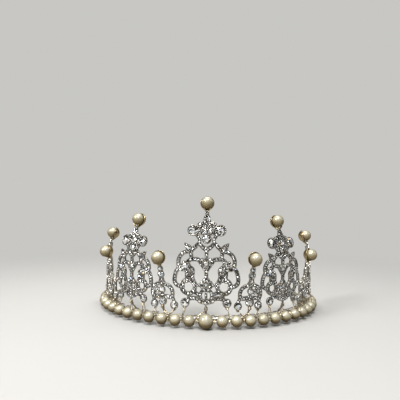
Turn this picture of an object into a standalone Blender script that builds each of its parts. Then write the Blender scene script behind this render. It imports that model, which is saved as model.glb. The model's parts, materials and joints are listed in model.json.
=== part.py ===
"""Bridal tiara: nine openwork castings on a C-shaped foundation wire, a laced strand of
imitation pearls along the foot, and a half-cupped pearl on every point.

Frame: the mid-plane between the two arms is x = 0, the wearer's front is -Y and left is +X,
+Z is up. The origin is the middle of the tiara's footprint on the surface it stands on.
Lengths in the script are millimetres; add_object and the frames turn them into metres.

A place on the tiara is given by its arc (length along the strand from the front middle,
positive to the wearer's left), its offset (outwards from the strand) and its height above
the strand's centre line.
"""

import math
from typing import NamedTuple

import bmesh
import bpy
import numpy as np
from mathutils import Matrix, Vector
from mathutils.geometry import delaunay_2d_cdt

MM = 0.001
SHARP_ANGLE = math.radians(40)

# ---- Plan and strand ---------------------------------------------------------------------
PLAN_HALF_WIDTH, PLAN_HALF_DEPTH = 67.4, 58.4   # the strand's plan ellipse
PLAN_CENTRE_Y = 23.02
STRAND_Z = 4.0                  # height of the strand's centre line
PEARL_R, MIDDLE_PEARL_R = 3.0, 4.0
PEARL_PITCH, FIRST_PITCH = 7.54, 8.56
SIDE_PEARLS = 14                # pearls on each side of the middle one
HOLE_R = 0.52                   # bead hole

STRING_R = 0.30
STRING_OVERRUN = 3.6            # the stringing wire's curve runs this far past the last pearls' centres
# How each end turns in: arc past the last pearl's centre, offset.
STRING_TAIL = [(4.2, -0.9), (4.4, -2.4), (4.4, -3.95)]

# ---- Foundation wire and its eyelets -----------------------------------------------------
RAIL_OFFSET, RAIL_R = -5.2, 0.80
RAIL_END = 110.6                # arc at which the round wire ends
EYE_OVERLAP = 0.8               # an eyelet's origin lies this far before the wire's end
EYE_AT = 4.2                    # from the eyelet's origin to the middle of its hole
EYE_R, EYE_HOLE_R, EYE_T = 2.6, 1.2, 0.9
EYE_ROOT, EYE_ROOT_HALF_H = 1.6, 1.0    # root: length before the eyelet's origin, half height
EYE_MOUTH = math.radians(30)    # half the angle left open in the eyelet's rim for its root

# ---- Lacing wire -------------------------------------------------------------------------
LACE_R = 0.24
# One turn about a gap of the strand: arc from the gap, offset, height.
LACE_TURN = [
    (-1.7, -6.75, 1.35), (-0.8, -5.0, 1.85), (0, -1.3, 2.1), (0, 0.95, 0.2),
    (0, 0.2, -0.95), (0, -5.6, -1.7), (0.3, -6.85, -0.2), (1.3, -6.8, 1.1),
]

# ---- Castings ----------------------------------------------------------------------------
WALL_OFFSET, WALL_T = -1.5, 1.30    # mid-surface offset from the strand, thickness
HEEL_H, FOOT_H = 5.6, 1.75      # below HEEL_H a foot bends back until it stands over the rail
FOOT_OUT, FOOT_DROP = 0.8, 0.25     # shares of a foot's thickness laid outwards and downwards
FOOT_HALF_W = 0.50
SCALE_H = 8.5                   # smaller tall castings shrink towards this height
TOP_FROM, TOP_FULL = 38.5, 43.5     # design heights between which the top's own factors come in
TALL_H, LOW_H = 61.2, 32.0      # finial pearl centres above the strand
NECK_GAP = 4.15                 # a tall neck is cut off this far below the pearl's centre
NECK_INSET, NECK_HALF_W = 1.2, 1.15     # the neck stroke's end below the cut, its half width there
BELL_TOP_H, BELL_TOP_HALF_W = 54.6, 0.90
LOW_COLUMN_GAP = 4.95           # a low column's stroke stops this far below the pearl's centre
LOW_SWAY = 0.07                 # a low spire leans towards the back as it rises

# Outline sampling
GRID_ACROSS = np.arange(-19.5, 19.51, 0.2)
GRID_HEIGHTS = np.arange(0.0, 62.0, 0.2)
CURVE_STEP = 1.2                # longest piece of a smoothed stroke
OUTLINE_TOLERANCE = 0.17
MIN_LOOP_AREA = 0.5             # mm2; smaller loops are dropped
RING_POINTS = 13

# ---- Finials -----------------------------------------------------------------------------
FINIAL_R = 3.35
FINIAL_OUT = 1.0                # a finial pearl's centre stands this far in front of the wall
CUP_GAP, CUP_T, CUP_ANGLE = 0.28, 0.38, math.radians(75)


class Pattern(NamedTuple):
    """An openwork design in the casting's own plane, at full size.

    A stroke is (points, half width); a point is (across, height) and may carry its own half
    width. A disc is (across, height, radius): the bezel of a set stone, or a stone flower.
    A ring is (across, height, radius, half width). Only the half with across >= 0 is listed,
    and it is mirrored. Lone strokes and discs are not: across > 0 is the side away from the
    front middle.
    """
    finial_h: float
    foot_top: float
    has_neck: bool
    sway: float
    strokes: list
    discs: list
    rings: list
    lone_strokes: list
    lone_discs: list


TALL = Pattern(
    finial_h=TALL_H, foot_top=9.0, has_neck=True, sway=0.0,
    strokes=[
        # bell under the finial
        ([(0, BELL_TOP_H, 0.85), (0, 53.6, 1.60), (0, 51.6, 2.20)], 0.9),
        # roof
        ([(0, 50.4, 1.45), (2.3, 50.1, 1.25), (4.5, 49.8, 0.75)], 0.95),
        ([(0, 50.6, 1.90), (0, 48.2, 1.60), (0, 46.4, 1.60)], 1.4),
        # upper and lower yoke
        ([(1.8, 48.1), (5.4, 47.9)], 1.00),
        ([(1.8, 45.0), (5.4, 45.3)], 1.00),
        # collar
        ([(5.9, 45.0), (4.7, 43.2), (3.7, 41.6), (4.2, 39.7)], 0.90),
        # cupid's bow
        ([(0, 36.7, 1.45), (2.0, 37.8, 1.20), (4.2, 39.7, 0.95), (6.0, 38.0, 1.12),
          (8.0, 36.3, 1.2)], 1.15),
        # leaf
        ([(7.8, 36.1, 0.8), (9.7, 37.5, 1.60), (11.8, 39.9, 0.30)], 1.0),
        # middle bar
        ([(0, 36.4), (0, 31.5)], 1.02),
        # arch side and arch
        ([(8.0, 36.3), (8.3, 34.2), (7.9, 32.0)], 1.05),
        ([(0, 25.7), (1.9, 28.4), (4.1, 31.2), (6.2, 31.6), (8.4, 31.4), (10.2, 30.0),
          (11.0, 28.4)], 1.15),
        # outer curls
        ([(8.0, 36.2), (9.8, 35.6), (12.2, 34.9), (14.3, 32.9), (15.2, 30.1), (14.6, 27.4),
          (12.9, 26.2), (11.2, 27.0)], 1.12),
        ([(14.6, 27.4), (16.3, 25.0), (17.1, 22.0), (17.1, 19.6), (16.0, 18.0), (14.2, 17.3),
          (12.6, 17.2)], 1.12),
        # outer and inner bank of the curl, and the bar between them
        ([(11.0, 27.0), (10.5, 24.6), (10.3, 22.4), (10.4, 20.2)], 1.10),
        ([(10.2, 27.4), (8.6, 27.2), (7.4, 26.0), (7.3, 24.0), (7.5, 22.2), (6.8, 20.4),
          (6.0, 18.9)], 1.15),
        ([(8.9, 24.6), (8.9, 21.6)], 0.95),
        # stem
        ([(0, 26.0), (0, 19.0)], 1.05),
        # flower to ring
        ([(2.2, 18.4), (5.6, 18.0)], 0.85),
        # lower stem and the scrolls beside it
        ([(0, 15.4), (0, 9.0)], 0.78),
        ([(1.2, 15.8), (2.5, 14.8), (3.1, 12.9), (2.7, 11.2)], 0.95),
        ([(0, 9.4), (3.2, 10.2)], 1.35),
        ([(3.2, 13.2), (6.0, 14.4)], 1.00),
        # foot scroll, and the link from the ring down to it
        ([(1.4, 9.5), (3.2, 10.6), (5.4, 11.4), (7.8, 11.4), (9.9, 10.4)], 1.15),
        ([(9.0, 13.4), (9.2, 11.0)], 0.90),
    ],
    discs=[
        (0, 46.4, 3.10), (7.5, 46.6, 3.00), (0, 42.2, 2.60), (0, 29.3, 1.70), (2.1, 31.3, 1.10),
        (11.2, 28.0, 2.80), (7.5, 26.0, 1.30), (0, 18.4, 3.40), (11.2, 8.9, 2.45),
    ],
    rings=[(9.5, 17.3, 3.58, 1.20)],
    lone_strokes=[],
    lone_discs=[],
)

LOW = Pattern(
    finial_h=LOW_H, foot_top=8.0, has_neck=False, sway=LOW_SWAY,
    strokes=[
        # column
        ([(0, LOW_H - LOW_COLUMN_GAP, 1.05), (0, 25.0, 1.30), (0, 22.0, 1.30),
          (0, 19.2, 1.50)], 1.1),
        # arms
        ([(0.5, 19.4), (1.8, 18.1), (3.5, 17.4), (5.0, 16.3), (5.8, 14.6), (5.9, 12.8),
          (5.5, 11.4)], 1.05),
        ([(0, 19.2), (0, 16.8)], 1.00),
        # band
        ([(0, 11.5), (2.0, 11.4), (4.0, 11.2), (5.5, 11.6)], 1.15),
        ([(0, 13.4), (0, 11.0)], 0.95),
    ],
    discs=[
        (0, 26.1, 1.55), (0, 23.1, 1.98), (0, 20.1, 1.50), (0, 17.9, 1.20), (0, 14.9, 1.85),
        (0, 9.0, 2.42),
    ],
    rings=[],
    # two drops and a small flower
    lone_strokes=[([(5.6, 11.4), (5.2, 9.0)], 0.90), ([(-5.8, 11.4), (-6.5, 9.2)], 0.90)],
    lone_discs=[(5.0, 7.3, 2.22), (-6.6, 7.3, 2.22), (3.25, 14.6, 1.85)],
)


class Casting(NamedTuple):
    name: str
    arc: float
    pattern: Pattern
    width: float        # factors on the pattern's widths and heights
    height: float
    slim: float         # factor on the strokes' half widths
    top_width: float    # the top motif's own width and disc factors
    top_disc: float
    bend_start: float   # height from which the wall curves
    curl: float         # inward bend, 1/mm; negative bends outwards
    tilt: float         # degrees by which the finial looks upwards


CASTINGS = [
    Casting("panel_front", 0.0, TALL, 1.0, 1.0, 1.0, 1.0, 1.0, 38.0, 0.0068, 10.0),
    Casting("spire_front", 23.75, LOW, 1.0, 1.0, 1.0, 1.0, 1.0, 14.0, -0.0090, -2.0),
    Casting("panel_side", 45.3, TALL, 0.82, 0.82, 0.95, 0.96, 1.0, 30.0, 0.0106, 14.0),
    Casting("spire_side", 67.3, LOW, 1.0, 1.0, 1.0, 1.0, 1.0, 14.0, -0.0090, -2.0),
    Casting("panel_rear", 90.0, TALL, 0.80, 0.635, 0.86, 0.86, 0.84, 24.0, 0.0106, 12.0),
]


# ---- Places on the tiara -----------------------------------------------------------------
# Arc length against the ellipse's parameter, by the trapezium rule.
PLAN_ANGLES = np.linspace(0.0, 2.6, 4001)
PLAN_SPEEDS = np.sqrt((PLAN_HALF_WIDTH * np.cos(PLAN_ANGLES)) ** 2
                      + (PLAN_HALF_DEPTH * np.sin(PLAN_ANGLES)) ** 2)
PLAN_ARCS = np.concatenate([
    [0.0],
    np.cumsum((PLAN_SPEEDS[1:] + PLAN_SPEEDS[:-1]) / 2 * np.diff(PLAN_ANGLES)),
])


def plan(arc, offset):
    """Plan point and outward normal."""
    angle = float(np.interp(abs(arc), PLAN_ARCS, PLAN_ANGLES)) * (1 if arc >= 0 else -1)
    x, y = math.sin(angle), -math.cos(angle)
    normal = Vector((x / PLAN_HALF_WIDTH, y / PLAN_HALF_DEPTH, 0)).normalized()
    point = Vector((PLAN_HALF_WIDTH * x, PLAN_CENTRE_Y + PLAN_HALF_DEPTH * y, 0))
    return point + normal * offset, normal


def place(arc, offset, height):
    point, _ = plan(arc, offset)
    return Vector((point.x, point.y, STRAND_Z + height))


def tangent(normal):
    """Direction along the band, towards growing arc."""
    return Vector((-normal.y, normal.x, 0))


def frame(x_axis, z_axis, centre):
    """World matrix, in metres, of a part with the given axes and centre."""
    matrix = Matrix((x_axis, z_axis.cross(x_axis), z_axis)).transposed().to_4x4()
    matrix.translation = centre * MM
    return matrix


def on_wall(casting, arc, height, out):
    """A point of a casting: height up its face, out in front of its mid-surface."""
    over = max(0.0, height - casting.bend_start)
    slope = 2 * casting.curl * over
    point, normal = plan(arc, WALL_OFFSET)
    if height < HEEL_H:
        back = (WALL_OFFSET - RAIL_OFFSET) * (HEEL_H - height) / (HEEL_H - FOOT_H)
        shift, z = out * FOOT_OUT - back, height - FOOT_DROP * out
    else:
        stretch = math.hypot(1, slope)
        shift = -casting.curl * over * over + out / stretch
        z = height + out * slope / stretch
    return Vector((point.x + normal.x * shift, point.y + normal.y * shift, STRAND_Z + z))


# ---- Materials and objects ---------------------------------------------------------------
def make_material(name, colour, roughness, metallic):
    material = bpy.data.materials.new(name)
    material.use_nodes = True
    shader = material.node_tree.nodes["Principled BSDF"]
    shader.inputs["Base Color"].default_value = (*colour, 1)
    shader.inputs["Roughness"].default_value = roughness
    shader.inputs["Metallic"].default_value = metallic
    return material


def add_object(name, bm, material, parent, origin=None):
    bmesh.ops.recalc_face_normals(bm, faces=bm.faces)
    if bm.calc_volume(signed=True) < 0:
        bmesh.ops.reverse_faces(bm, faces=bm.faces)
    mesh = bpy.data.meshes.new(name)
    bm.to_mesh(mesh)
    bm.free()
    mesh.transform(Matrix.Scale(MM, 4))
    mesh.shade_smooth()
    mesh.set_sharp_from_angle(angle=SHARP_ANGLE)
    mesh.materials.append(material)
    obj = bpy.data.objects.new(name, mesh)
    bpy.context.scene.collection.objects.link(obj)
    if origin is not None:
        obj.matrix_world = origin
    obj.parent = parent
    return obj


# ---- General shapes ----------------------------------------------------------------------
def arc_profile(radius, start, end, count):
    """Profile points (radius, z) on a circle about the origin, angles taken from -Z."""
    return [(radius * math.sin(angle), -radius * math.cos(angle))
            for angle in np.linspace(start, end, count)]


def turned(profile, steps):
    """A closed solid of revolution about Z; a profile radius of 0 closes on the axis."""
    bm = bmesh.new()
    angles = np.linspace(0, 2 * math.pi, steps, endpoint=False)
    rings = []
    for radius, z in profile:
        if radius < 1e-9:
            rings.append([bm.verts.new((0, 0, z))])
        else:
            rings.append([bm.verts.new((radius * math.cos(angle), radius * math.sin(angle), z))
                          for angle in angles])
    pairs = list(zip(rings, rings[1:]))
    if len(rings[0]) > 1:
        pairs.append((rings[-1], rings[0]))
    for near, far in pairs:
        for i in range(steps):
            j = (i + 1) % steps
            if len(near) == 1:
                bm.faces.new((near[0], far[i], far[j]))
            elif len(far) == 1:
                bm.faces.new((near[i], far[0], near[j]))
            else:
                bm.faces.new((near[i], far[i], far[j], near[j]))
    return bm


def tube(points, radius, sides):
    """A round wire along a path, with filled ends; each ring stands square to the path."""
    bm = bmesh.new()
    angles = np.linspace(0, 2 * math.pi, sides, endpoint=False)
    rings = []
    normal = Vector((0, 0, 1))
    for i, point in enumerate(points):
        before, after = points[max(i - 1, 0)], points[min(i + 1, len(points) - 1)]
        along = (after - before).normalized()
        normal = normal - along * normal.dot(along)
        normal.normalize()
        side = along.cross(normal)
        rings.append([
            bm.verts.new(point + (normal * math.cos(angle) + side * math.sin(angle)) * radius)
            for angle in angles
        ])
    for near, far in zip(rings, rings[1:]):
        for i in range(sides):
            j = (i + 1) % sides
            bm.faces.new((near[i], near[j], far[j], far[i]))
    bm.faces.new(rings[0][::-1])
    bm.faces.new(rings[-1])
    return bm


def double_faces(bm):
    """Extrude a flat sheet in place and return the vertices of its new, front face."""
    made = bmesh.ops.extrude_face_region(bm, geom=list(bm.faces), use_keep_orig=True)
    return {vert for vert in made["geom"] if isinstance(vert, bmesh.types.BMVert)}


# ---- Casting outline ---------------------------------------------------------------------
def smooth_curve(points):
    """Catmull-Rom through points, at most CURVE_STEP apart; two points stay a straight line."""
    knots = [Vector(point) for point in points]
    if len(knots) < 3:
        return knots
    knots = [knots[0] * 2 - knots[1]] + knots + [knots[-1] * 2 - knots[-2]]
    curve = []
    for before, start, end, after in zip(knots, knots[1:], knots[2:], knots[3:]):
        count = max(1, math.ceil((end - start).length / CURVE_STEP))
        for i in range(count):
            t = i / count
            curve.append(0.5 * (
                (2 * start) + (end - before) * t
                + (2 * before - 5 * start + 4 * end - after) * t * t
                + (3 * start - before - 3 * end + after) * t ** 3))
    return curve + [knots[-2]]


def distance_field(strokes, discs):
    """Signed distance on the grid to the union of strokes (across, height, half width) and discs."""
    across, heights = np.meshgrid(GRID_ACROSS, GRID_HEIGHTS)
    field = np.full(across.shape, 1e3)
    for points in strokes:
        line = smooth_curve(points)
        for start, end in zip(line, line[1:]):
            step = end - start
            t = (across - start.x) * step.x + (heights - start.y) * step.y
            t = np.clip(t / max(step.x * step.x + step.y * step.y, 1e-9), 0, 1)
            distance = np.hypot(across - start.x - t * step.x, heights - start.y - t * step.y)
            field = np.minimum(field, distance - start.z - step.z * t)
    for x, y, radius in discs:
        field = np.minimum(field, np.hypot(across - x, heights - y) - radius)
    return field


def contours(field):
    """Closed loops of the field's zero line, by marching squares."""
    inside = field < 0
    corner = inside[:-1, :-1]
    mixed = ((corner != inside[1:, :-1]) | (corner != inside[:-1, 1:])
             | (corner != inside[1:, 1:]))
    # Each crossed grid edge is linked to the crossed edges it joins in its two cells.
    links = {}
    for i, j in np.argwhere(mixed):
        corners = [(i, j), (i, j + 1), (i + 1, j + 1), (i + 1, j)]
        state = [bool(inside[node]) for node in corners]
        hits = [tuple(sorted((corners[k], corners[(k + 1) % 4])))
                for k in range(4) if state[k] != state[(k + 1) % 4]]
        if len(hits) == 2:
            pairs = [hits]
        elif (sum(field[node] for node in corners) / 4 < 0) != state[1]:
            pairs = [hits[:2], hits[2:]]
        else:
            pairs = [[hits[0], hits[3]], [hits[1], hits[2]]]
        for one, other in pairs:
            links.setdefault(one, []).append(other)
            links.setdefault(other, []).append(one)

    def crossing(edge):
        (i, j), (k, m) = edge
        t = field[i, j] / (field[i, j] - field[k, m])
        return (GRID_ACROSS[j] + (GRID_ACROSS[m] - GRID_ACROSS[j]) * t,
                GRID_HEIGHTS[i] + (GRID_HEIGHTS[k] - GRID_HEIGHTS[i]) * t)

    loops, seen = [], set()
    for start in sorted(links):
        loop, here, back = [], start, None
        while here not in seen:
            seen.add(here)
            loop.append(crossing(here))
            onward = [edge for edge in links[here] if edge != back]
            back, here = here, (onward[0] if onward else here)
        if len(loop) > 5:
            loops.append(np.array(loop))
    return loops


def thin_out(loop):
    """Douglas-Peucker on a closed loop."""

    def keep(points):
        ends = [0, len(points) - 1]
        if len(points) < 3:
            return ends
        chord = points[-1] - points[0]
        length = np.hypot(*chord)
        away = points - points[0]
        if length > 1e-9:
            distances = np.abs(chord[0] * away[:, 1] - chord[1] * away[:, 0]) / length
        else:
            distances = np.hypot(away[:, 0], away[:, 1])
        k = int(distances.argmax())
        if distances[k] <= OUTLINE_TOLERANCE:
            return ends
        return keep(points[: k + 1]) + [k + i for i in keep(points[k:])[1:]]

    far = int(np.hypot(*(loop - loop[0]).T).argmax())
    first = keep(loop[: far + 1])
    rest = keep(np.vstack([loop[far:], loop[:1]]))
    return loop[first[:-1] + [far + i for i in rest[:-1]]]


def loop_area(loop):
    after = np.roll(loop, -1, axis=0)
    return abs(np.sum(loop[:, 0] * after[:, 1] - loop[:, 1] * after[:, 0]) / 2)


def within(points, loops):
    """Which points lie inside the loops, by the even-odd rule."""
    result = np.zeros(len(points), bool)
    for loop in loops:
        for start, end in zip(loop, np.roll(loop, -1, axis=0)):
            spans = (start[1] > points[:, 1]) != (end[1] > points[:, 1])
            rise = end[1] - start[1] if abs(end[1] - start[1]) > 1e-12 else 1e-12
            reach = (end[0] - start[0]) * (points[:, 1] - start[1]) / rise + start[0]
            result ^= spans & (points[:, 0] < reach)
    return result


# ---- Castings and finials ----------------------------------------------------------------
def finial_height(casting):
    return SCALE_H + (casting.pattern.finial_h - SCALE_H) * casting.height


def sized_pattern(casting):
    """The casting's strokes and discs at its own size, with both halves."""
    pattern = casting.pattern
    squeeze = min(1.0, 0.5 + 0.5 * min(casting.width, casting.height))

    def blend(base, top, height):
        """A factor that eases from base to top between TOP_FROM and TOP_FULL."""
        t = min(1.0, max(0.0, (height - TOP_FROM) / (TOP_FULL - TOP_FROM)))
        return base + (top - base) * (t * t * (3 - 2 * t))

    def moved(x, y):
        return (x * blend(casting.width, casting.top_width, y),
                SCALE_H + (y - SCALE_H) * casting.height if y > SCALE_H else y)

    def sized_stroke(points, half_width):
        return [(*moved(*point[:2]), (point[2] if len(point) > 2 else half_width) * casting.slim)
                for point in points]

    def sized_disc(x, y, radius):
        return (*moved(x, y), radius * blend(squeeze, casting.top_disc, y))

    strokes = [sized_stroke(*stroke) for stroke in pattern.strokes]
    for x, y, radius, half_width in pattern.rings:
        circle = [(x + radius * math.cos(angle), y + radius * math.sin(angle))
                  for angle in np.linspace(0, 2 * math.pi, RING_POINTS)]
        strokes.append(sized_stroke(circle, half_width))
    strokes += [[(-x, y, half_width) for x, y, half_width in stroke] for stroke in strokes]
    strokes += [sized_stroke(*stroke) for stroke in pattern.lone_strokes]

    discs = [sized_disc(*disc) for disc in pattern.discs]
    discs += [(-x, y, radius) for x, y, radius in discs]
    discs += [sized_disc(*disc) for disc in pattern.lone_discs]

    if pattern.has_neck:
        neck_end = finial_height(casting) - NECK_GAP - NECK_INSET
        strokes.append([(0, neck_end, NECK_HALF_W),
                        (*moved(0, BELL_TOP_H), BELL_TOP_HALF_W * casting.slim)])
    strokes.append([(0, pattern.foot_top, FOOT_HALF_W), (0, FOOT_H, FOOT_HALF_W)])
    return strokes, discs


def casting_mesh(casting, side):
    """The pattern's outline, filled, given the wall's thickness and wrapped round the plan."""
    field = distance_field(*sized_pattern(casting))
    # The foot ends square, above the foundation wire, and a tall casting's neck below its cup.
    heights = GRID_HEIGHTS[:, None]
    field = np.maximum(field, FOOT_H - heights)
    if casting.pattern.has_neck:
        field = np.maximum(field, heights - (finial_height(casting) - NECK_GAP))
    loops = [thin_out(loop) for loop in contours(field)]
    loops = [loop for loop in loops if loop_area(loop) > MIN_LOOP_AREA]

    points, edges = [], []
    for loop in loops:
        first = len(points)
        points += [Vector(point) for point in loop]
        edges += [(first + i, first + (i + 1) % len(loop)) for i in range(len(loop))]
    flat, _, faces, *_ = delaunay_2d_cdt(points, edges, [], 0, 1e-5)
    centres = np.array([sum((flat[i] for i in face), Vector((0, 0))) / len(face)
                        for face in faces])

    bm = bmesh.new()
    verts = [bm.verts.new((point.x, point.y, 0)) for point in flat]
    for face, solid in zip(faces, within(centres, loops)):
        if solid:
            bm.faces.new([verts[i] for i in face])
    loose = [vert for vert in bm.verts if not vert.link_faces]
    bmesh.ops.delete(bm, geom=loose, context="VERTS")
    front = double_faces(bm)
    for vert in bm.verts:
        out = WALL_T / 2 if vert in front else -WALL_T / 2
        sway = casting.pattern.sway * max(0.0, vert.co.y - SCALE_H)
        arc = side * casting.arc + side * (vert.co.x + sway)
        vert.co = on_wall(casting, arc, vert.co.y, out)
    return bm


def finial_frame(casting, side):
    """Axes at a finial: x along the band, y up, z to the front; origin at the pearl's centre."""
    height = finial_height(casting)
    arc = side * casting.arc + side * casting.pattern.sway * (height - SCALE_H)
    _, normal = plan(arc, 0)
    centre = on_wall(casting, arc, height, 0) + normal * FINIAL_OUT
    tilt = math.radians(casting.tilt)
    forward = normal * math.cos(tilt) + Vector((0, 0, math.sin(tilt)))
    return frame(tangent(normal), forward, centre)


def cup_mesh():
    """A bowl round the back of a finial pearl."""
    inner = FINIAL_R + CUP_GAP
    outer = inner + CUP_T
    profile = arc_profile(outer, 0, CUP_ANGLE, 4) + arc_profile(inner, CUP_ANGLE, 0, 4)
    return turned(profile, 14)


def build_castings(silver, gilt, cream, parent):
    for casting in CASTINGS:
        sides = {1: "_left", -1: "_right"} if casting.arc else {1: ""}
        for side, tag in sides.items():
            name = casting.name + tag
            seat = finial_frame(casting, side)
            ball = turned(arc_profile(FINIAL_R, 0, math.pi, 9), 14)
            add_object(name, casting_mesh(casting, side), silver, parent)
            add_object(f"cup_{name}", cup_mesh(), gilt, parent, seat)
            add_object(f"finial_pearl_{name}", ball, cream, parent, seat)


# ---- Strand ------------------------------------------------------------------------------
def strand_pearls():
    """(number, arc, radius) of each pearl, from the wearer's right; the middle one is 0."""
    pearls = []
    for number in range(-SIDE_PEARLS, SIDE_PEARLS + 1):
        if number:
            reach = FIRST_PITCH + PEARL_PITCH * (abs(number) - 1)
            pearls.append((number, math.copysign(reach, number), PEARL_R))
        else:
            pearls.append((0, 0.0, MIDDLE_PEARL_R))
    return pearls


def build_strand_pearls(cream, parent):
    """Drilled beads, each with its origin on its own stretch of the stringing wire."""
    for number, arc, radius in strand_pearls():
        if number:
            name = f"strand_pearl_{'left' if number > 0 else 'right'}_{abs(number):02d}"
            rings, steps = 8, 14
        else:
            name = "strand_pearl_middle"
            rings, steps = 9, 16
        hole = math.asin(HOLE_R / radius)
        bead = turned(arc_profile(radius, hole, math.pi - hole, rings), steps)
        _, normal = plan(arc, 0)
        seat = frame(normal, tangent(normal), place(arc, 0, 0))
        add_object(name, bead, cream, parent, seat)


def build_stringing_wire(metal, parent):
    """Through every bead, its ends turned in towards the foundation wire."""
    last = strand_pearls()[-1][1]
    end = last + STRING_OVERRUN
    right, left = ([place(sign * (last + past), offset, 0) for past, offset in STRING_TAIL]
                   for sign in (-1, 1))
    route = right[::-1] + [place(arc, 0, 0) for arc in np.linspace(-end, end, 59)] + left
    add_object("stringing_wire", tube(route, STRING_R, 5), metal, parent)


def build_lacing_wire(metal, parent):
    """Along the back of the foundation wire, forward over it into each gap of the strand,
    down round the stringing wire and back beneath."""
    pearls = strand_pearls()
    route = []
    for (_, arc, radius), (_, next_arc, next_radius) in zip(pearls, pearls[1:]):
        gap = (arc + radius + next_arc - next_radius) / 2
        route += [place(gap + along, offset, height) for along, offset, height in LACE_TURN]
    add_object("lacing_wire", tube(route, LACE_R, 4), metal, parent)


# ---- Foundation wire ---------------------------------------------------------------------
def eyelet_mesh(sign):
    """A pierced flat tab: its length runs on from the wire, its faces look in and out."""
    point, normal = plan(sign * (RAIL_END - EYE_OVERLAP), RAIL_OFFSET)
    origin = Vector((point.x, point.y, STRAND_Z))
    along = tangent(normal) * sign
    rim = [(-EYE_ROOT, -EYE_ROOT_HALF_H), (-EYE_ROOT, EYE_ROOT_HALF_H)]
    rim += [(EYE_AT - EYE_R * math.cos(angle), EYE_R * math.sin(angle))
            for angle in np.linspace(EYE_MOUTH, 2 * math.pi - EYE_MOUTH, 12)]
    hole = [(EYE_AT + EYE_HOLE_R * math.cos(angle), EYE_HOLE_R * math.sin(angle))
            for angle in np.linspace(0, 2 * math.pi, 10, endpoint=False)]
    bm = bmesh.new()
    loops = [[bm.verts.new((*corner, 0)) for corner in loop] for loop in (rim, hole)]
    edges = [bm.edges.new(pair) for loop in loops for pair in zip(loop, loop[1:] + loop[:1])]
    bmesh.ops.triangle_fill(bm, use_beauty=True, edges=edges)
    front = double_faces(bm)
    for vert in bm.verts:
        out = EYE_T / 2 if vert in front else -EYE_T / 2
        vert.co = origin + along * vert.co.x + Vector((0, 0, vert.co.y)) + normal * out
    return bm


def build_foundation_wire(silver, parent):
    """A round wire with a flat eyelet welded to each end."""
    core = [place(arc, RAIL_OFFSET, 0) for arc in np.linspace(-RAIL_END, RAIL_END, 53)]
    rail = add_object("foundation_wire", tube(core, RAIL_R, 8), silver, parent)
    for sign in (1, -1):
        eyelet = add_object("eyelet", eyelet_mesh(sign), silver, parent)
        weld = rail.modifiers.new("eyelet", "BOOLEAN")
        weld.operation = "UNION"
        weld.solver = "EXACT"
        weld.object = eyelet
        depsgraph = bpy.context.evaluated_depsgraph_get()
        welded = bpy.data.meshes.new_from_object(rail.evaluated_get(depsgraph))
        rail.modifiers.clear()
        rail.data = welded
        bpy.data.objects.remove(eyelet, do_unlink=True)


def main():
    for old in list(bpy.data.objects):
        bpy.data.objects.remove(old, do_unlink=True)

    silver = make_material("silver_plate", colour=(0.74, 0.73, 0.70), roughness=0.22, metallic=1.0)
    gilt = make_material("cup_metal", colour=(0.66, 0.58, 0.42), roughness=0.28, metallic=1.0)
    cream = make_material("pearl", colour=(0.87, 0.81, 0.68), roughness=0.20, metallic=0.0)
    lacing = make_material("lacing_wire", colour=(0.80, 0.74, 0.62), roughness=0.25, metallic=1.0)

    tiara = bpy.data.objects.new("tiara", None)
    bpy.context.scene.collection.objects.link(tiara)

    build_castings(silver, gilt, cream, tiara)
    build_strand_pearls(cream, tiara)
    build_stringing_wire(lacing, tiara)
    build_foundation_wire(silver, tiara)
    build_lacing_wire(lacing, tiara)


main()
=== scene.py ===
# A pearl and rhinestone tiara: five tall panels and four low spires, all cast, stand on a curved
# wire above a strand of pearls, and each carries a pearl finial in a dish cup. In plan it follows
# part of an ellipse: its front middle faces -Y, it opens towards +Y, and "left" is +X. It is
# modelled in mm and scaled to metres in make_object; lights, floor and camera are in metres.
import json
import math
import random
from collections import namedtuple
from functools import cache

import bmesh
import bpy
import numpy as np
from mathutils import Matrix, Vector
from mathutils.geometry import delaunay_2d_cdt


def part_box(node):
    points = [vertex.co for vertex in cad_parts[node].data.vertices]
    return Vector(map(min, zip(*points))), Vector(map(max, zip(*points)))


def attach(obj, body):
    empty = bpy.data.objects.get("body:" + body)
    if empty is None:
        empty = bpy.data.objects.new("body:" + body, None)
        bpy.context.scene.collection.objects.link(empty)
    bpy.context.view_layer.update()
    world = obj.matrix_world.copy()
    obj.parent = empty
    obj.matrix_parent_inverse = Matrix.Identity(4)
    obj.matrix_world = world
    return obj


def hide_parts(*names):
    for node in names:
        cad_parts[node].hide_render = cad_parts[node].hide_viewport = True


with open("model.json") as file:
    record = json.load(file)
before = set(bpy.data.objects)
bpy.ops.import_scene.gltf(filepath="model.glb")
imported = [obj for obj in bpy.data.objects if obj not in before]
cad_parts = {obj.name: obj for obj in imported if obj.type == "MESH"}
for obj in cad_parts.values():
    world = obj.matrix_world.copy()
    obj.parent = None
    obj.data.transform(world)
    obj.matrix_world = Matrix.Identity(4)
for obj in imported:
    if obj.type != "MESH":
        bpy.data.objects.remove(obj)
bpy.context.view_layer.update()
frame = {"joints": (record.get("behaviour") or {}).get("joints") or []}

MM = 0.001
ROOT = "frame"
UP = np.array([0.0, 0.0, 1.0])
rng = random.Random(7)

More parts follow.
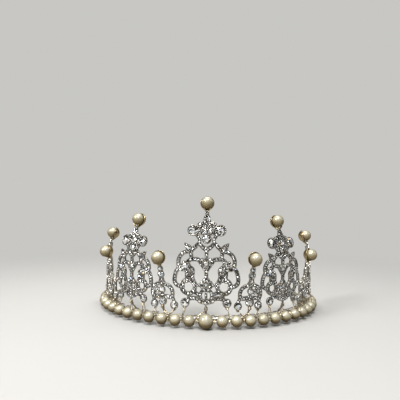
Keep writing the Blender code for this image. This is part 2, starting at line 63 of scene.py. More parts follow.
# ---- dimensions (mm) ---------------------------------------------------------------------
PLAN_A, PLAN_B, ELLIPSE_Y = 67.4, 58.4, 23.02    # half axes and centre of the strand's ellipse
STRAND_Z = 4.0                                   # heights h are measured from here
FINIAL_R = 3.35
PEARL_R, MIDDLE_PEARL_R = 3.0, 4.0
HOLE_R, HOLE_LIP = 0.52, 0.16
PITCH, FIRST, PER_SIDE = 7.54, 8.56, 14          # pearls along the strand, either side of the middle
LAST = FIRST + PITCH * (PER_SIDE - 1)
STRAND_R = 0.30                                  # stringing wire
RAIL_OFF, RAIL_R, RAIL_END = -5.2, 0.80, 110.6   # foundation wire
EYE_AT, EYE_R, EYE_HOLE, EYE_T = 4.2, 2.6, 1.2, 0.9
WALL_OFF = -1.5                                  # mid-surface of the castings
HEEL_H, FOOT_H = 5.6, 1.75                       # the foot slants back between these heights
TALL_H, LOW_H, SCALE_H = 61.2, 32.0, 8.5         # finial centres; heights scale above SCALE_H
LOW_SWAY = 0.07                                  # sideways lean of a low spire
FINIAL_DROP, NECK_CAP, LOW_NECK_TOP = 4.15, 1.2, 28.15

# Rows: base name, arc position, kind, width and height factors, height where the bend starts,
# strength of the bend, finial tilt in degrees.
Casting = namedtuple("Casting", "base arc kind width height bend_from curl tilt")
CASTINGS = [Casting(*row) for row in (
    ("panel_front", 0.0, "tall", 1.0, 1.0, 38.0, 0.0068, 10.0),
    ("spire_front", 23.75, "low", 1.0, 1.0, 14.0, -0.0090, -2.0),
    ("panel_side", 45.3, "tall", 0.82, 0.82, 30.0, 0.0106, 14.0),
    ("spire_side", 67.3, "low", 1.0, 1.0, 14.0, -0.0090, -2.0),
    ("panel_rear", 90.0, "tall", 0.80, 0.635, 24.0, 0.0106, 12.0),
)]
# Height factor: (factor of stroke widths and small stones, top's width factor, top's stone factor).
# A smaller tall casting keeps a fuller top motif, blended in between TOP_FROM and TOP_FULL.
SIZE_FACTORS = {1.0: (1.0, 1.0, 1.0), 0.82: (0.95, 0.96, 1.0), 0.635: (0.86, 0.86, 0.84)}
TOP_FROM, TOP_FULL = 38.5, 43.5

# A casting's flat design, with u across and h up:
#   strokes  (points, half width, row of stones); a point may carry its own half width, and the
#            stroke's is None where nothing else needs it
#   stones   (u, h, stone radius, bezel radius)
#   petals   (u, h, ring radius, count, stone radius, first angle): rings of small stones
#   rings    (u, h, ring radius, half width): round strokes set with a row of stones
#   foot_top upper end of the foot
# They show the half with u >= 0 and are mirrored. The lone_ lists are on one side only;
# u > 0 is the side away from the front middle.
Design = namedtuple(
    "Design", "strokes stones petals rings foot_top lone_strokes lone_stones lone_petals",
    defaults=([], [], []))

TALL = Design(
    strokes=[
        ([(0, 54.6, 0.85), (0, 53.6, 1.60), (0, 51.6, 2.20)], None, False),   # bell under the finial
        ([(0, 50.4, 1.45), (2.3, 50.1, 1.25), (4.5, 49.8, 0.75)], None, False),   # roof
        ([(0, 50.6, 1.90), (0, 48.2, 1.60)], None, False),
        ([(1.8, 48.1), (5.4, 47.9)], 1.00, False),   # upper yoke
        ([(1.8, 45.0), (5.4, 45.3)], 1.00, False),   # lower yoke
        ([(5.9, 45.0), (4.7, 43.2), (3.7, 41.6), (4.2, 39.7)], 0.90, True),   # collar
        ([(0, 36.7, 1.45), (2.0, 37.8, 1.20), (4.2, 39.7, 0.95), (6.0, 38.0, 1.12),
          (8.0, 36.3, 1.2)], 1.15, True),   # cupid's bow
        ([(7.8, 36.1, 0.8), (9.7, 37.5, 1.60), (11.8, 39.9, 0.30)], None, False),   # leaf
        ([(0, 36.4), (0, 31.5)], 1.02, True),   # middle bar
        ([(8.0, 36.3), (8.3, 34.2), (7.9, 32.0)], 1.05, True),   # arch side
        ([(0, 25.7), (1.9, 28.4), (4.1, 31.2), (6.2, 31.6), (8.4, 31.4), (10.2, 30.0),
          (11.0, 28.4)], 1.15, True),
        ([(8.0, 36.2), (9.8, 35.6), (12.2, 34.9), (14.3, 32.9), (15.2, 30.1), (14.6, 27.4),
          (12.9, 26.2), (11.2, 27.0)], 1.12, True),
        ([(14.6, 27.4), (16.3, 25.0), (17.1, 22.0), (17.1, 19.6), (16.0, 18.0), (14.2, 17.3),
          (12.6, 17.2)], 1.12, True),
        ([(11.0, 27.0), (10.5, 24.6), (10.3, 22.4), (10.4, 20.2)], 1.10, True),   # curl's outer bank
        ([(10.2, 27.4), (8.6, 27.2), (7.4, 26.0), (7.3, 24.0), (7.5, 22.2), (6.8, 20.4),
          (6.0, 18.9)], 1.15, True),
        ([(8.9, 24.6), (8.9, 21.6)], 0.95, False),
        ([(0, 26.0), (0, 19.0)], 1.05, True),   # stem
        ([(2.2, 18.4), (5.6, 18.0)], 0.85, True),   # flower to ring
        ([(0, 15.4), (0, 9.0)], 0.78, True),   # lower stem
        ([(1.2, 15.8), (2.5, 14.8), (3.1, 12.9), (2.7, 11.2)], 0.95, True),
        ([(0, 9.4), (3.2, 10.2)], 1.35, False),
        ([(3.2, 13.2), (6.0, 14.4)], 1.00, True),
        ([(1.4, 9.5), (3.2, 10.6), (5.4, 11.4), (7.8, 11.4), (9.9, 10.4)], 1.15, True),   # foot scroll
        ([(9.0, 13.4), (9.2, 11.0)], 0.90, False),   # ring to foot scroll
    ],
    stones=[
        (0.98, 52.5, 0.72, 0.90), (1.0, 51.0, 0.66, 0.8), (2.6, 50.5, 0.58, 0.7),
        (0, 49.6, 0.62, 0.8), (0, 46.4, 1.40, 1.80), (7.5, 46.6, 2.62, 3.00),
        (0, 42.2, 2.10, 2.60), (3.75, 48.0, 0.66, 0.9), (3.75, 45.0, 0.66, 0.9),
        (3.95, 46.5, 0.50, 0.8), (9.7, 37.4, 0.98, 1.4), (10.9, 38.8, 0.52, 0.7),
        (0, 29.3, 1.30, 1.70), (2.1, 31.3, 0.82, 1.10), (0, 31.9, 0.62, 0.9),
        (1.75, 28.9, 0.56, 0.9), (0, 26.9, 0.72, 1.0), (11.2, 28.0, 1.25, 1.65),
        (7.5, 26.0, 0.85, 1.30), (0, 18.4, 1.10, 1.60), (11.2, 8.9, 2.02, 2.45),
        (0, 8.9, 0.84, 1.1), (1.75, 9.3, 0.78, 1.0), (3.4, 10.0, 0.72, 0.9),
    ],
    petals=[
        (0, 18.4, 2.45, 8, 0.88, 22.5), (0, 46.4, 2.26, 8, 0.70, 22.5),
        (11.2, 28.0, 2.05, 7, 0.62, 10.0),
    ],
    rings=[(9.5, 17.3, 3.58, 1.20)],
    foot_top=9.0,
)
LOW = Design(
    strokes=[
        ([(0, 27.05, 1.05), (0, 25.0, 1.30), (0, 22.0, 1.30), (0, 19.2, 1.50)], None, False),  # column
        ([(0.5, 19.4), (1.8, 18.1), (3.5, 17.4), (5.0, 16.3), (5.8, 14.6), (5.9, 12.8),
          (5.5, 11.4)], 1.05, True),   # arms
        ([(0, 19.2), (0, 16.8)], 1.00, True),
        ([(0, 11.5), (2.0, 11.4), (4.0, 11.2), (5.5, 11.6)], 1.15, True),   # band
        ([(0, 13.4), (0, 11.0)], 0.95, False),
    ],
    stones=[
        (0, 26.1, 1.12, 1.55), (0, 23.1, 1.52, 1.98), (0, 20.1, 1.12, 1.50),
        (0, 17.9, 0.80, 1.20), (0, 14.9, 1.42, 1.85), (0, 9.0, 2.02, 2.42),
    ],
    petals=[],
    rings=[],
    foot_top=8.0,
    lone_strokes=[([(5.6, 11.4), (5.2, 9.0)], 0.90), ([(-5.8, 11.4), (-6.5, 9.2)], 0.90)],
    lone_stones=[(5.0, 7.3, 1.85, 2.22), (-6.6, 7.3, 1.85, 2.22), (3.25, 14.6, 0.62, 0.95)],
    lone_petals=[(3.25, 14.6, 1.22, 5, 0.50, 18.0)],
)
FOOT_HALF_WIDTH = 0.48


# ---- sites: one for each casting on each side ----------------------------------------------
# side is 1 on the left and -1 on the right; arc is signed.
Site = namedtuple("Site", "name casting side arc")


def all_sites():
    sites = []
    for casting in CASTINGS:
        if not casting.arc:
            sites.append(Site(casting.base, casting, 1, casting.arc))
            continue
        for side, tag in ((1, "_left"), (-1, "_right")):
            sites.append(Site(casting.base + tag, casting, side, side * casting.arc))
    return sites


SITES = all_sites()


def finial_height(kind, height):
    return SCALE_H + (TALL_H - SCALE_H) * height if kind == "tall" else LOW_H


def sway(kind, h):
    """How far a casting leans sideways at height h."""
    return (LOW_SWAY if kind == "low" else 0.0) * np.maximum(0.0, h - SCALE_H)


# ---- plan curve --------------------------------------------------------------------------
# The ellipse's parameter and the arc length it reaches, from the front middle.
PARAMS = np.linspace(0.0, 2.6, 4001)
SPEEDS = np.sqrt((PLAN_A * np.cos(PARAMS)) ** 2 + (PLAN_B * np.sin(PARAMS)) ** 2)
ARCS = np.concatenate([[0.0], np.cumsum((SPEEDS[1:] + SPEEDS[:-1]) / 2 * np.diff(PARAMS))])


def plan(s, off=0.0):
    """Plan points and outward normals at arc lengths s, off mm outside the strand's curve."""
    s = np.asarray(s, float)
    t = np.interp(np.abs(s), ARCS, PARAMS) * np.sign(s)
    nx, ny = np.sin(t) / PLAN_A, -np.cos(t) / PLAN_B
    length = np.hypot(nx, ny)
    nx, ny = nx / length, ny / length
    return PLAN_A * np.sin(t) + nx * off, ELLIPSE_Y - PLAN_B * np.cos(t) + ny * off, nx, ny


def plan_axes(s):
    """Unit vectors along the curve and outward from it."""
    _, _, nx, ny = (float(value) for value in plan(s))
    return np.array([-ny, nx, 0.0]), np.array([nx, ny, 0.0])


def place(s, off, h):
    x, y, _, _ = plan(s, off)
    return Vector((float(x), float(y), STRAND_Z + h))


def wall(s, h, out, casting):
    """Points of a casting: h up its face, out in front of its mid-surface. n values give (n, 3)."""
    s, h, out = np.broadcast_arrays(
        np.asarray(s, float), np.asarray(h, float), np.asarray(out, float))
    over = np.maximum(0.0, h - casting.bend_from)
    slope = 2 * casting.curl * over
    norm = np.hypot(1, slope)
    foot = h < HEEL_H
    run = np.clip((HEEL_H - h) / (HEEL_H - FOOT_H), 0, 1)
    r = np.where(foot, out * 0.8 - (WALL_OFF - RAIL_OFF) * run,
                 -casting.curl * over * over + out / norm)
    z = np.where(foot, h - 0.25 * out, h + out * slope / norm)
    x, y, nx, ny = plan(s, WALL_OFF)
    return np.stack([x + nx * r, y + ny * r, STRAND_Z + z], -1)


# ---- shader helpers ------------------------------------------------------------------------
def new_material(name):
    material = bpy.data.materials.new(name)
    material.use_nodes = True
    return material, material.node_tree, material.node_tree.nodes["Principled BSDF"]


def feed(tree, node, inputs):
    """Fill inputs, keyed by socket name or index: an output is linked, else it is a value."""
    for key, value in inputs.items():
        if isinstance(value, bpy.types.NodeSocket):
            tree.links.new(value, node.inputs[key])
        else:
            node.inputs[key].default_value = value


def add_node(tree, kind, inputs=None, **settings):
    node = tree.nodes.new("ShaderNode" + kind)
    for key, value in settings.items():
        setattr(node, key, value)
    feed(tree, node, inputs or {})
    return node


def noise(tree, at, scale, detail, roughness=0.5):
    inputs = {"Vector": at, "Scale": scale, "Detail": detail, "Roughness": roughness}
    return add_node(tree, "TexNoise", inputs).outputs["Fac"]


def ramp(tree, factor, stops, interpolation="LINEAR"):
    """A colour ramp with (position, colour) stops."""
    node = add_node(tree, "ValToRGB", {"Fac": factor})
    node.color_ramp.interpolation = interpolation
    elements = node.color_ramp.elements
    for index in (0, 1):
        position, colour = stops[-index]
        elements[index].position = position
        elements[index].color = (*colour, 1)
    for position, colour in stops[1:-1]:
        elements.new(position).color = (*colour, 1)
    return node.outputs["Color"]


def map_range(tree, value, to, source=(0.0, 1.0), interpolation="LINEAR"):
    inputs = {"Value": value, "From Min": source[0], "From Max": source[1],
              "To Min": to[0], "To Max": to[1]}
    node = add_node(tree, "MapRange", inputs, interpolation_type=interpolation)
    return node.outputs["Result"]


def multiply(tree, first, second):
    node = add_node(tree, "Math", {0: first, 1: second}, operation="MULTIPLY")
    return node.outputs["Value"]


def multiply_colours(tree, first, second):
    node = add_node(tree, "Mix", {"Factor": 1.0, "A": first, "B": second},
                    data_type="RGBA", blend_type="MULTIPLY")
    return node.outputs["Result"]


def bump(tree, height, strength, distance):
    inputs = {"Height": height, "Strength": strength, "Distance": distance}
    return add_node(tree, "Bump", inputs).outputs["Normal"]


# ---- materials ---------------------------------------------------------------------------
def metal_material(name, bright, painted_shade=None, roughness=0.24):
    """Plated metal: soft blotches, fine polishing marks, painted shade (a dark colour) where "recess"
    is high.
    """
    material, tree, shader = new_material(name)
    at = add_node(tree, "TexCoord").outputs["Object"]
    blotches = noise(tree, at, scale=260.0, detail=4.0, roughness=0.6)
    colour = ramp(tree, blotches, [(0.30, tuple(c * 0.72 for c in bright)), (0.70, bright)])
    # painted shade: the metal turns dark in the recesses between stones, where shade falls
    if painted_shade:
        recess = add_node(tree, "Attribute", attribute_name="recess").outputs["Fac"]
        inputs = {"Factor": recess, "A": colour, "B": (*painted_shade, 1)}
        colour = add_node(tree, "Mix", inputs, data_type="RGBA").outputs["Result"]
    marks = noise(tree, at, scale=2600.0, detail=3.0)
    feed(tree, shader, {
        "Base Color": colour,
        "Metallic": 1.0,
        "Specular Tint": (0.45, 0.42, 0.36, 1),
        "Roughness": map_range(tree, blotches, to=(roughness * 0.7, roughness * 1.45)),
        "Normal": bump(tree, marks, strength=0.25, distance=0.00004),
    })
    return material


def stone_material(name, cell, spread, dark_share):
    """Foil-backed cut glass: each cell (mm) of a fine Voronoi pattern is one image of a pavilion facet
    in the foil: a painted reflection with its own tone and tilt (spread), under a clear coat that
    follows the real crown facets. dark_share of the cells get a dark painted reflection.
    "tone" is the stone's own random brightness times the painted light over its facets."""
    material, tree, shader = new_material(name)
    at = add_node(tree, "TexCoord").outputs["Object"]
    cells = add_node(tree, "TexVoronoi", {"Vector": at, "Scale": 1000.0 / cell}, feature="F1")
    cells = cells.outputs["Color"]
    parts = add_node(tree, "SeparateColor", {"Color": cells}).outputs
    # painted reflections: each cell's tone stands for the dark or light its facet mirrors
    tone = ramp(tree, parts["Red"], [
        (0.0, (0.012, 0.012, 0.010)), (dark_share, (0.05, 0.048, 0.042)),
        (dark_share + 0.02, (0.36, 0.355, 0.34)), (dark_share + 0.26, (0.66, 0.66, 0.65)),
        (0.80, (0.97, 0.98, 1.0)), (1.0, (1.0, 1.0, 1.0))])
    # painted fire: a trace of dispersion painted in, a few cells lean blue or amber
    painted_fire = ramp(tree, parts["Green"], [
        (0.0, (0.55, 0.72, 1.0)), (0.07, (0.80, 0.90, 1.0)), (0.12, (1, 1, 1)),
        (0.90, (1, 1, 1)), (0.95, (1.0, 0.86, 0.62)), (1.0, (1.0, 0.70, 0.45))])
    # the stone's random tone times the painted light over its facets
    own = add_node(tree, "Attribute", attribute_name="tone").outputs["Color"]
    # tilt each cell's normal at random about the real one
    centred = add_node(tree, "VectorMath", {0: cells, 1: (0.5, 0.5, 0.5)}, operation="SUBTRACT")
    tilts = add_node(tree, "VectorMath", {0: centred.outputs["Vector"], "Scale": spread},
                     operation="SCALE")
    normal = add_node(tree, "NewGeometry").outputs["Normal"]
    tilted = add_node(tree, "VectorMath", {0: normal, 1: tilts.outputs["Vector"]},
                      operation="ADD")
    unit = add_node(tree, "VectorMath", {0: tilted.outputs["Vector"]}, operation="NORMALIZE")
    feed(tree, shader, {
        "Base Color": multiply_colours(tree, multiply_colours(tree, tone, painted_fire), own),
        "Metallic": 1.0,
        "Roughness": 0.10,
        "Specular Tint": (0.50, 0.49, 0.46, 1),
        "Coat Weight": 0.55,
        "Coat Roughness": 0.02,
        "Normal": unit.outputs["Vector"],
    })
    return material


def pearl_material(name, painted_under_shade, painted_under_mid):
    """Imitation pearl: cream lacquer, faint mottling, wet top coat. Painted light and shade:
    lighter on top, honey-brown towards the limb and below the middle (painted_under_shade,
    painted_under_mid)."""
    material, tree, shader = new_material(name)
    at = add_node(tree, "TexCoord").outputs["Object"]
    own = add_node(tree, "ObjectInfo").outputs["Random"]
    facing = add_node(tree, "LayerWeight", {"Blend": 0.42}).outputs["Facing"]
    # painted shade: darker and browner towards the limb
    body = ramp(tree, facing, [
        (0.0, (0.60, 0.575, 0.460)), (0.30, (0.51, 0.480, 0.362)),
        (0.62, (0.32, 0.280, 0.178)), (1.0, (0.18, 0.140, 0.068))])
    blotches = noise(tree, at, scale=420.0, detail=4.0, roughness=0.55)
    mottling = map_range(tree, blotches, source=(0.3, 0.7), to=(0.93, 1.07))
    brightness = multiply(tree, mottling, map_range(tree, own, to=(0.92, 1.08)))
    # painted light and shade: lighter on top, and below the middle it turns deep brown
    normal = add_node(tree, "NewGeometry").outputs["Normal"]
    upward = add_node(tree, "SeparateXYZ", {"Vector": normal}).outputs["Z"]
    painted_fall = ramp(tree, map_range(tree, upward, source=(-1.0, 1.0), to=(0.0, 1.0)), [
        (0.0, painted_under_shade), (0.36, painted_under_mid), (0.52, (0.52, 0.460, 0.345)),
        (0.72, (0.94, 0.93, 0.91)), (1.0, (1.0, 1.0, 1.0))], interpolation="B_SPLINE")
    colour = add_node(tree, "HueSaturation", {
        "Value": brightness, "Color": multiply_colours(tree, body, painted_fall)}).outputs["Color"]
    # little of the pale ground is mirrored in the underside
    coat = map_range(tree, facing, to=(1.0, 0.30))
    shade = map_range(tree, upward, source=(-0.30, 0.35), to=(0.18, 1.0),
                      interpolation="SMOOTHSTEP")
    grain = noise(tree, at, scale=900.0, detail=5.0, roughness=0.6)
    feed(tree, shader, {
        "Base Color": colour,
        "Metallic": 0.12,
        "Roughness": 0.34,
        "Specular Tint": (0.62, 0.57, 0.46, 1),
        "Specular IOR Level": multiply(tree, shade, 0.5),
        "Coat Weight": multiply(tree, coat, shade),
        "Coat Roughness": 0.11,
        "Coat IOR": 1.80,
        "Normal": bump(tree, grain, strength=0.07, distance=0.00005),
    })
    return material


# silver, with a dark colour as painted shade for the recesses
silver = metal_material("silver_plate_look", bright=(0.74, 0.715, 0.65),
                        painted_shade=(0.080, 0.072, 0.055))
cup_metal = metal_material("cup_plate_look", bright=(0.44, 0.35, 0.20))
wire_metal = metal_material("binding_wire_look", bright=(0.60, 0.51, 0.36))
pave = stone_material("rhinestone_small_look", cell=0.55, spread=0.75, dark_share=0.16)
brilliant = stone_material("rhinestone_large_look", cell=0.85, spread=0.80, dark_share=0.20)
# the under colours are painted shade below each pearl's middle
nacre = pearl_material("pearl_look", painted_under_shade=(0.18, 0.128, 0.064),
                       painted_under_mid=(0.25, 0.185, 0.098))
nacre_top = pearl_material("pearl_finial_look", painted_under_shade=(0.32, 0.255, 0.160),
                           painted_under_mid=(0.42, 0.350, 0.240))


# ---- mesh helpers ------------------------------------------------------------------------
# A shape is a pair (verts, faces) in mm.
def make_object(name, verts, faces, materials, slot, smooth, body=ROOT, face_materials=None,
                replaces=None, **attributes):
    """A mesh object from a shape. Edges sharper than smooth degrees stay sharp."""
    mesh = bpy.data.meshes.new(name)
    mesh.from_pydata([tuple(point) for point in np.asarray(verts, float) * MM], [], faces)
    for material in materials:
        mesh.materials.append(material)
    if face_materials is not None:
        mesh.polygons.foreach_set("material_index", np.asarray(face_materials, np.int32))
    for key, values in attributes.items():
        attribute = mesh.attributes.new(key, "FLOAT", "POINT")
        attribute.data.foreach_set("value", np.asarray(values, np.float32))
    mesh.validate()
    bm = bmesh.new()
    bm.from_mesh(mesh)
    bmesh.ops.recalc_face_normals(bm, faces=bm.faces)
    bm.to_mesh(mesh)
    bm.free()
    mesh.shade_smooth()
    mesh.set_sharp_from_angle(angle=math.radians(smooth))
    obj = bpy.data.objects.new(name, mesh)
    bpy.context.scene.collection.objects.link(obj)
    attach(obj, body)
    if replaces:
        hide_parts(replaces)


class Shells:
    """Gathers many small closed shells into one shape."""

    def __init__(self):
        self.parts, self.faces, self.materials, self.count = [], [], [], 0

    def add(self, verts, faces, material=0):
        self.parts.append(np.asarray(verts, float))
        self.faces += [tuple(i + self.count for i in face) for face in faces]
        self.materials += [material] * len(faces)
        self.count += len(verts)

    def shape(self):
        return np.concatenate(self.parts), self.faces


def placed(shape, origin, x, y, z):
    """A shape moved to origin, with its local axes along x, y and z."""
    v, faces = shape
    moved = v[:, :1] * np.asarray(x)
    return np.asarray(origin) + moved + v[:, 1:2] * np.asarray(y) + v[:, 2:] * np.asarray(z), faces


def circle(count):
    return np.linspace(0, 2 * math.pi, count, endpoint=False)


def smooth_curve(points, step):
    """Points about step apart on a Catmull-Rom curve, or on a straight line for two points."""
    p = [np.array(point, float) for point in points]
    if len(p) < 3:
        a, b = p
        n = max(1, math.ceil(np.linalg.norm(b - a) / step))
        return [a + (b - a) * i / n for i in range(n + 1)]
    p = [p[0] * 2 - p[1]] + p + [p[-1] * 2 - p[-2]]
    curve = []
    for a, b, c, d in zip(p, p[1:], p[2:], p[3:]):
        n = max(1, math.ceil(np.linalg.norm(c - b) / step))
        for i in range(n):
            t = i / n
            curve.append(0.5 * ((2 * b) + (c - a) * t + (2 * a - 5 * b + 4 * c - d) * t * t
                                + (3 * b - a - 3 * c + d) * t ** 3))
    return curve + [p[-2]]


def resample(line, pitch):
    """Points and unit tangents along a polyline, evenly spaced about pitch apart."""
    line = np.array(line)
    reached = np.concatenate([[0], np.cumsum(np.linalg.norm(np.diff(line, axis=0), axis=1))])
    n = max(1, round(reached[-1] / pitch))
    at = (np.arange(n) + 0.5) * reached[-1] / n

    def points(where):
        return np.stack([np.interp(where, reached, column) for column in line.T], -1)

    tangents = points(at + 0.05) - points(at - 0.05)
    tangents /= np.maximum(np.linalg.norm(tangents, axis=1, keepdims=True), 1e-9)
    return points(at), tangents


def tube_faces(rings, sides, closed=False):
    """Quads between rings of points, with filled ends unless the tube is closed on itself."""
    faces = []
    for i in range(rings if closed else rings - 1):
        j = (i + 1) % rings
        for k in range(sides):
            m = (k + 1) % sides
            faces.append((i * sides + k, i * sides + m, j * sides + m, j * sides + k))
    if not closed:
        faces.append(tuple(range(sides))[::-1])
        faces.append(tuple((rings - 1) * sides + k for k in range(sides)))
    return faces


def sweep(points, radius, sides, closed=False):
    """A round wire along 3-D points. radius is one number or one for each point."""
    p = np.array([tuple(point) for point in points], float)
    radii = np.broadcast_to(np.asarray(radius, float), (len(p),))
    tangents = np.roll(p, -1, 0) - np.roll(p, 1, 0) if closed else np.gradient(p, axis=0)
    tangents /= np.linalg.norm(tangents, axis=1, keepdims=True)
    normal = UP if abs(tangents[0][2]) < 0.9 else np.array([1.0, 0, 0])
    rings = []
    cos, sin = np.cos(circle(sides))[:, None], np.sin(circle(sides))[:, None]
    # the first pass makes the start normal; each later one carries it along the wire
    for i, tangent in [(0, tangents[0])] + list(enumerate(tangents)):
        normal = normal - tangent * normal.dot(tangent)
        normal /= np.linalg.norm(normal)
        rings.append(p[i] + radii[i] * (cos * normal + sin * np.cross(tangent, normal)))
    return np.concatenate(rings[1:]), tube_faces(len(p), sides, closed)


def revolve(profile, steps):
    """A solid of revolution about local Z; radius 0 closes on the axis."""
    verts, rings = [], []
    for r, z in profile:
        if r < 1e-9:
            rings.append([len(verts)])
            verts.append((0, 0, z))
        else:
            rings.append(list(range(len(verts), len(verts) + steps)))
            verts += [(r * math.cos(a), r * math.sin(a), z) for a in circle(steps)]
    pairs = list(zip(rings, rings[1:]))
    if len(rings[0]) > 1:
        pairs.append((rings[-1], rings[0]))
    faces = []
    for a, b in pairs:
        for i in range(steps):
            j = (i + 1) % steps
            if len(a) == 1:
                faces.append((a[0], b[i], b[j]))
            elif len(b) == 1:
                faces.append((a[i], b[0], a[j]))
            else:
                faces.append((a[i], b[i], b[j], a[j]))
    return np.array(verts), faces


def ball_profile(r, n):
    points = [(r * math.sin(a), -r * math.cos(a)) for a in np.linspace(0, math.pi, n)]
    return [(0, -r)] + points[1:-1] + [(0, r)]


def bead_profile(r, hole, lip, n):
    """A ball pierced along its axis, with a rounded lip at each end of the hole."""
    start = math.asin((hole + lip) / r)
    outer = [(r * math.sin(a), -r * math.cos(a)) for a in np.linspace(start, math.pi - start, n)]
    z = outer[0][1]
    return [(hole, z + lip * 1.1), (hole + lip * 0.35, z + lip * 0.35), *outer,
            (hole + lip * 0.35, -z - lip * 0.35), (hole, -z - lip * 1.1)]


def dome(sides):
    """A low bead of unit radius, closed beneath."""
    verts = [(r * math.cos(a), r * math.sin(a), z)
             for r, z in ((1.0, -0.25), (0.78, 0.55)) for a in circle(sides)]
    verts += [(0, 0, 0.95)]
    faces = [(k, (k + 1) % sides, sides + (k + 1) % sides, sides + k) for k in range(sides)]
    faces += [(sides + k, sides + (k + 1) % sides, 2 * sides) for k in range(sides)]
    faces.append(tuple(range(sides))[::-1])
    return np.array(verts), faces


def cut_stone(n, table, crown, pavilion=0.30, band=0.08):
    """A round cut of unit radius: table, n star facets, n kites, 2n girdle facets, a thin girdle
    and a pavilion."""
    turn = 2 * math.pi / n
    verts = [(table * math.cos(k * turn), table * math.sin(k * turn), crown) for k in range(n)]
    verts += [(0.80 * math.cos((k + 0.5) * turn), 0.80 * math.sin((k + 0.5) * turn),
               crown * 0.55) for k in range(n)]
    for z in (0.0, -band):
        verts += [(math.cos(k * turn / 2), math.sin(k * turn / 2), z) for k in range(2 * n)]
    verts += [(0, 0, -band - pavilion)]
    star, girdle, lower, culet = n, 2 * n, 4 * n, 6 * n
    faces = [tuple(range(n))]
    for k in range(n):
        corner = girdle + 2 * k
        faces.append((k, star + k, (k + 1) % n))
        faces.append((k, star + (k - 1) % n, corner, star + k))
        faces.append((star + k, corner, corner + 1))
        faces.append((star + k, corner + 1, girdle + (2 * k + 2) % (2 * n)))
    for k in range(2 * n):
        m = (k + 1) % (2 * n)
        faces.append((girdle + k, lower + k, lower + m, girdle + m))
        faces.append((lower + k, culet, lower + m))
    return np.array(verts), faces


SMALL_CUT = cut_stone(6, table=0.56, crown=0.34)
LARGE_CUT = cut_stone(8, table=0.52, crown=0.36)
GRAIN, BOSS = dome(6), dome(8)
# Painted light over a cut's points: table, then star points, then girdle and culet; a painted
# highlight on the table and painted shade on the girdle and culet.
SMALL_PAINTED_LIGHT = np.array([1.10] * 6 + [0.75] * 6 + [0.30] * 25)
LARGE_PAINTED_LIGHT = np.array([1.05] * 8 + [0.95] * 8 + [0.55] * 33)
PETAL_PAINTED_LIGHT = np.array([1.0] * 12 + [0.62] * 25)


# ---- the castings' flat patterns -----------------------------------------------------------
GRID = 0.1
MARGIN = 0.8                 # how far the distance field is worked out round each shape
BIG_STONE = 1.1              # a larger radius gets the large cut
ROW_OUT, NECK_OUT = 0.52, 0.62   # seat heights of small stones
OUTLINE_STEP = 0.26
# Rows of points at these field values, with their height off the mid-surface and their painted shade
# (most on the channel floors between stones).
FRONT_LEVELS, FRONT_Z = (0.0, -0.13, -0.26, -0.38), (0.30, 0.56, 0.56, 0.22)
FRONT_DARK = (0.72, 0.30, 0.45, 1.0)
BACK_LEVELS, BACK_Z, BACK_DARK = (0.0, -0.22), (-0.30, -0.52), (0.72, 0.28)


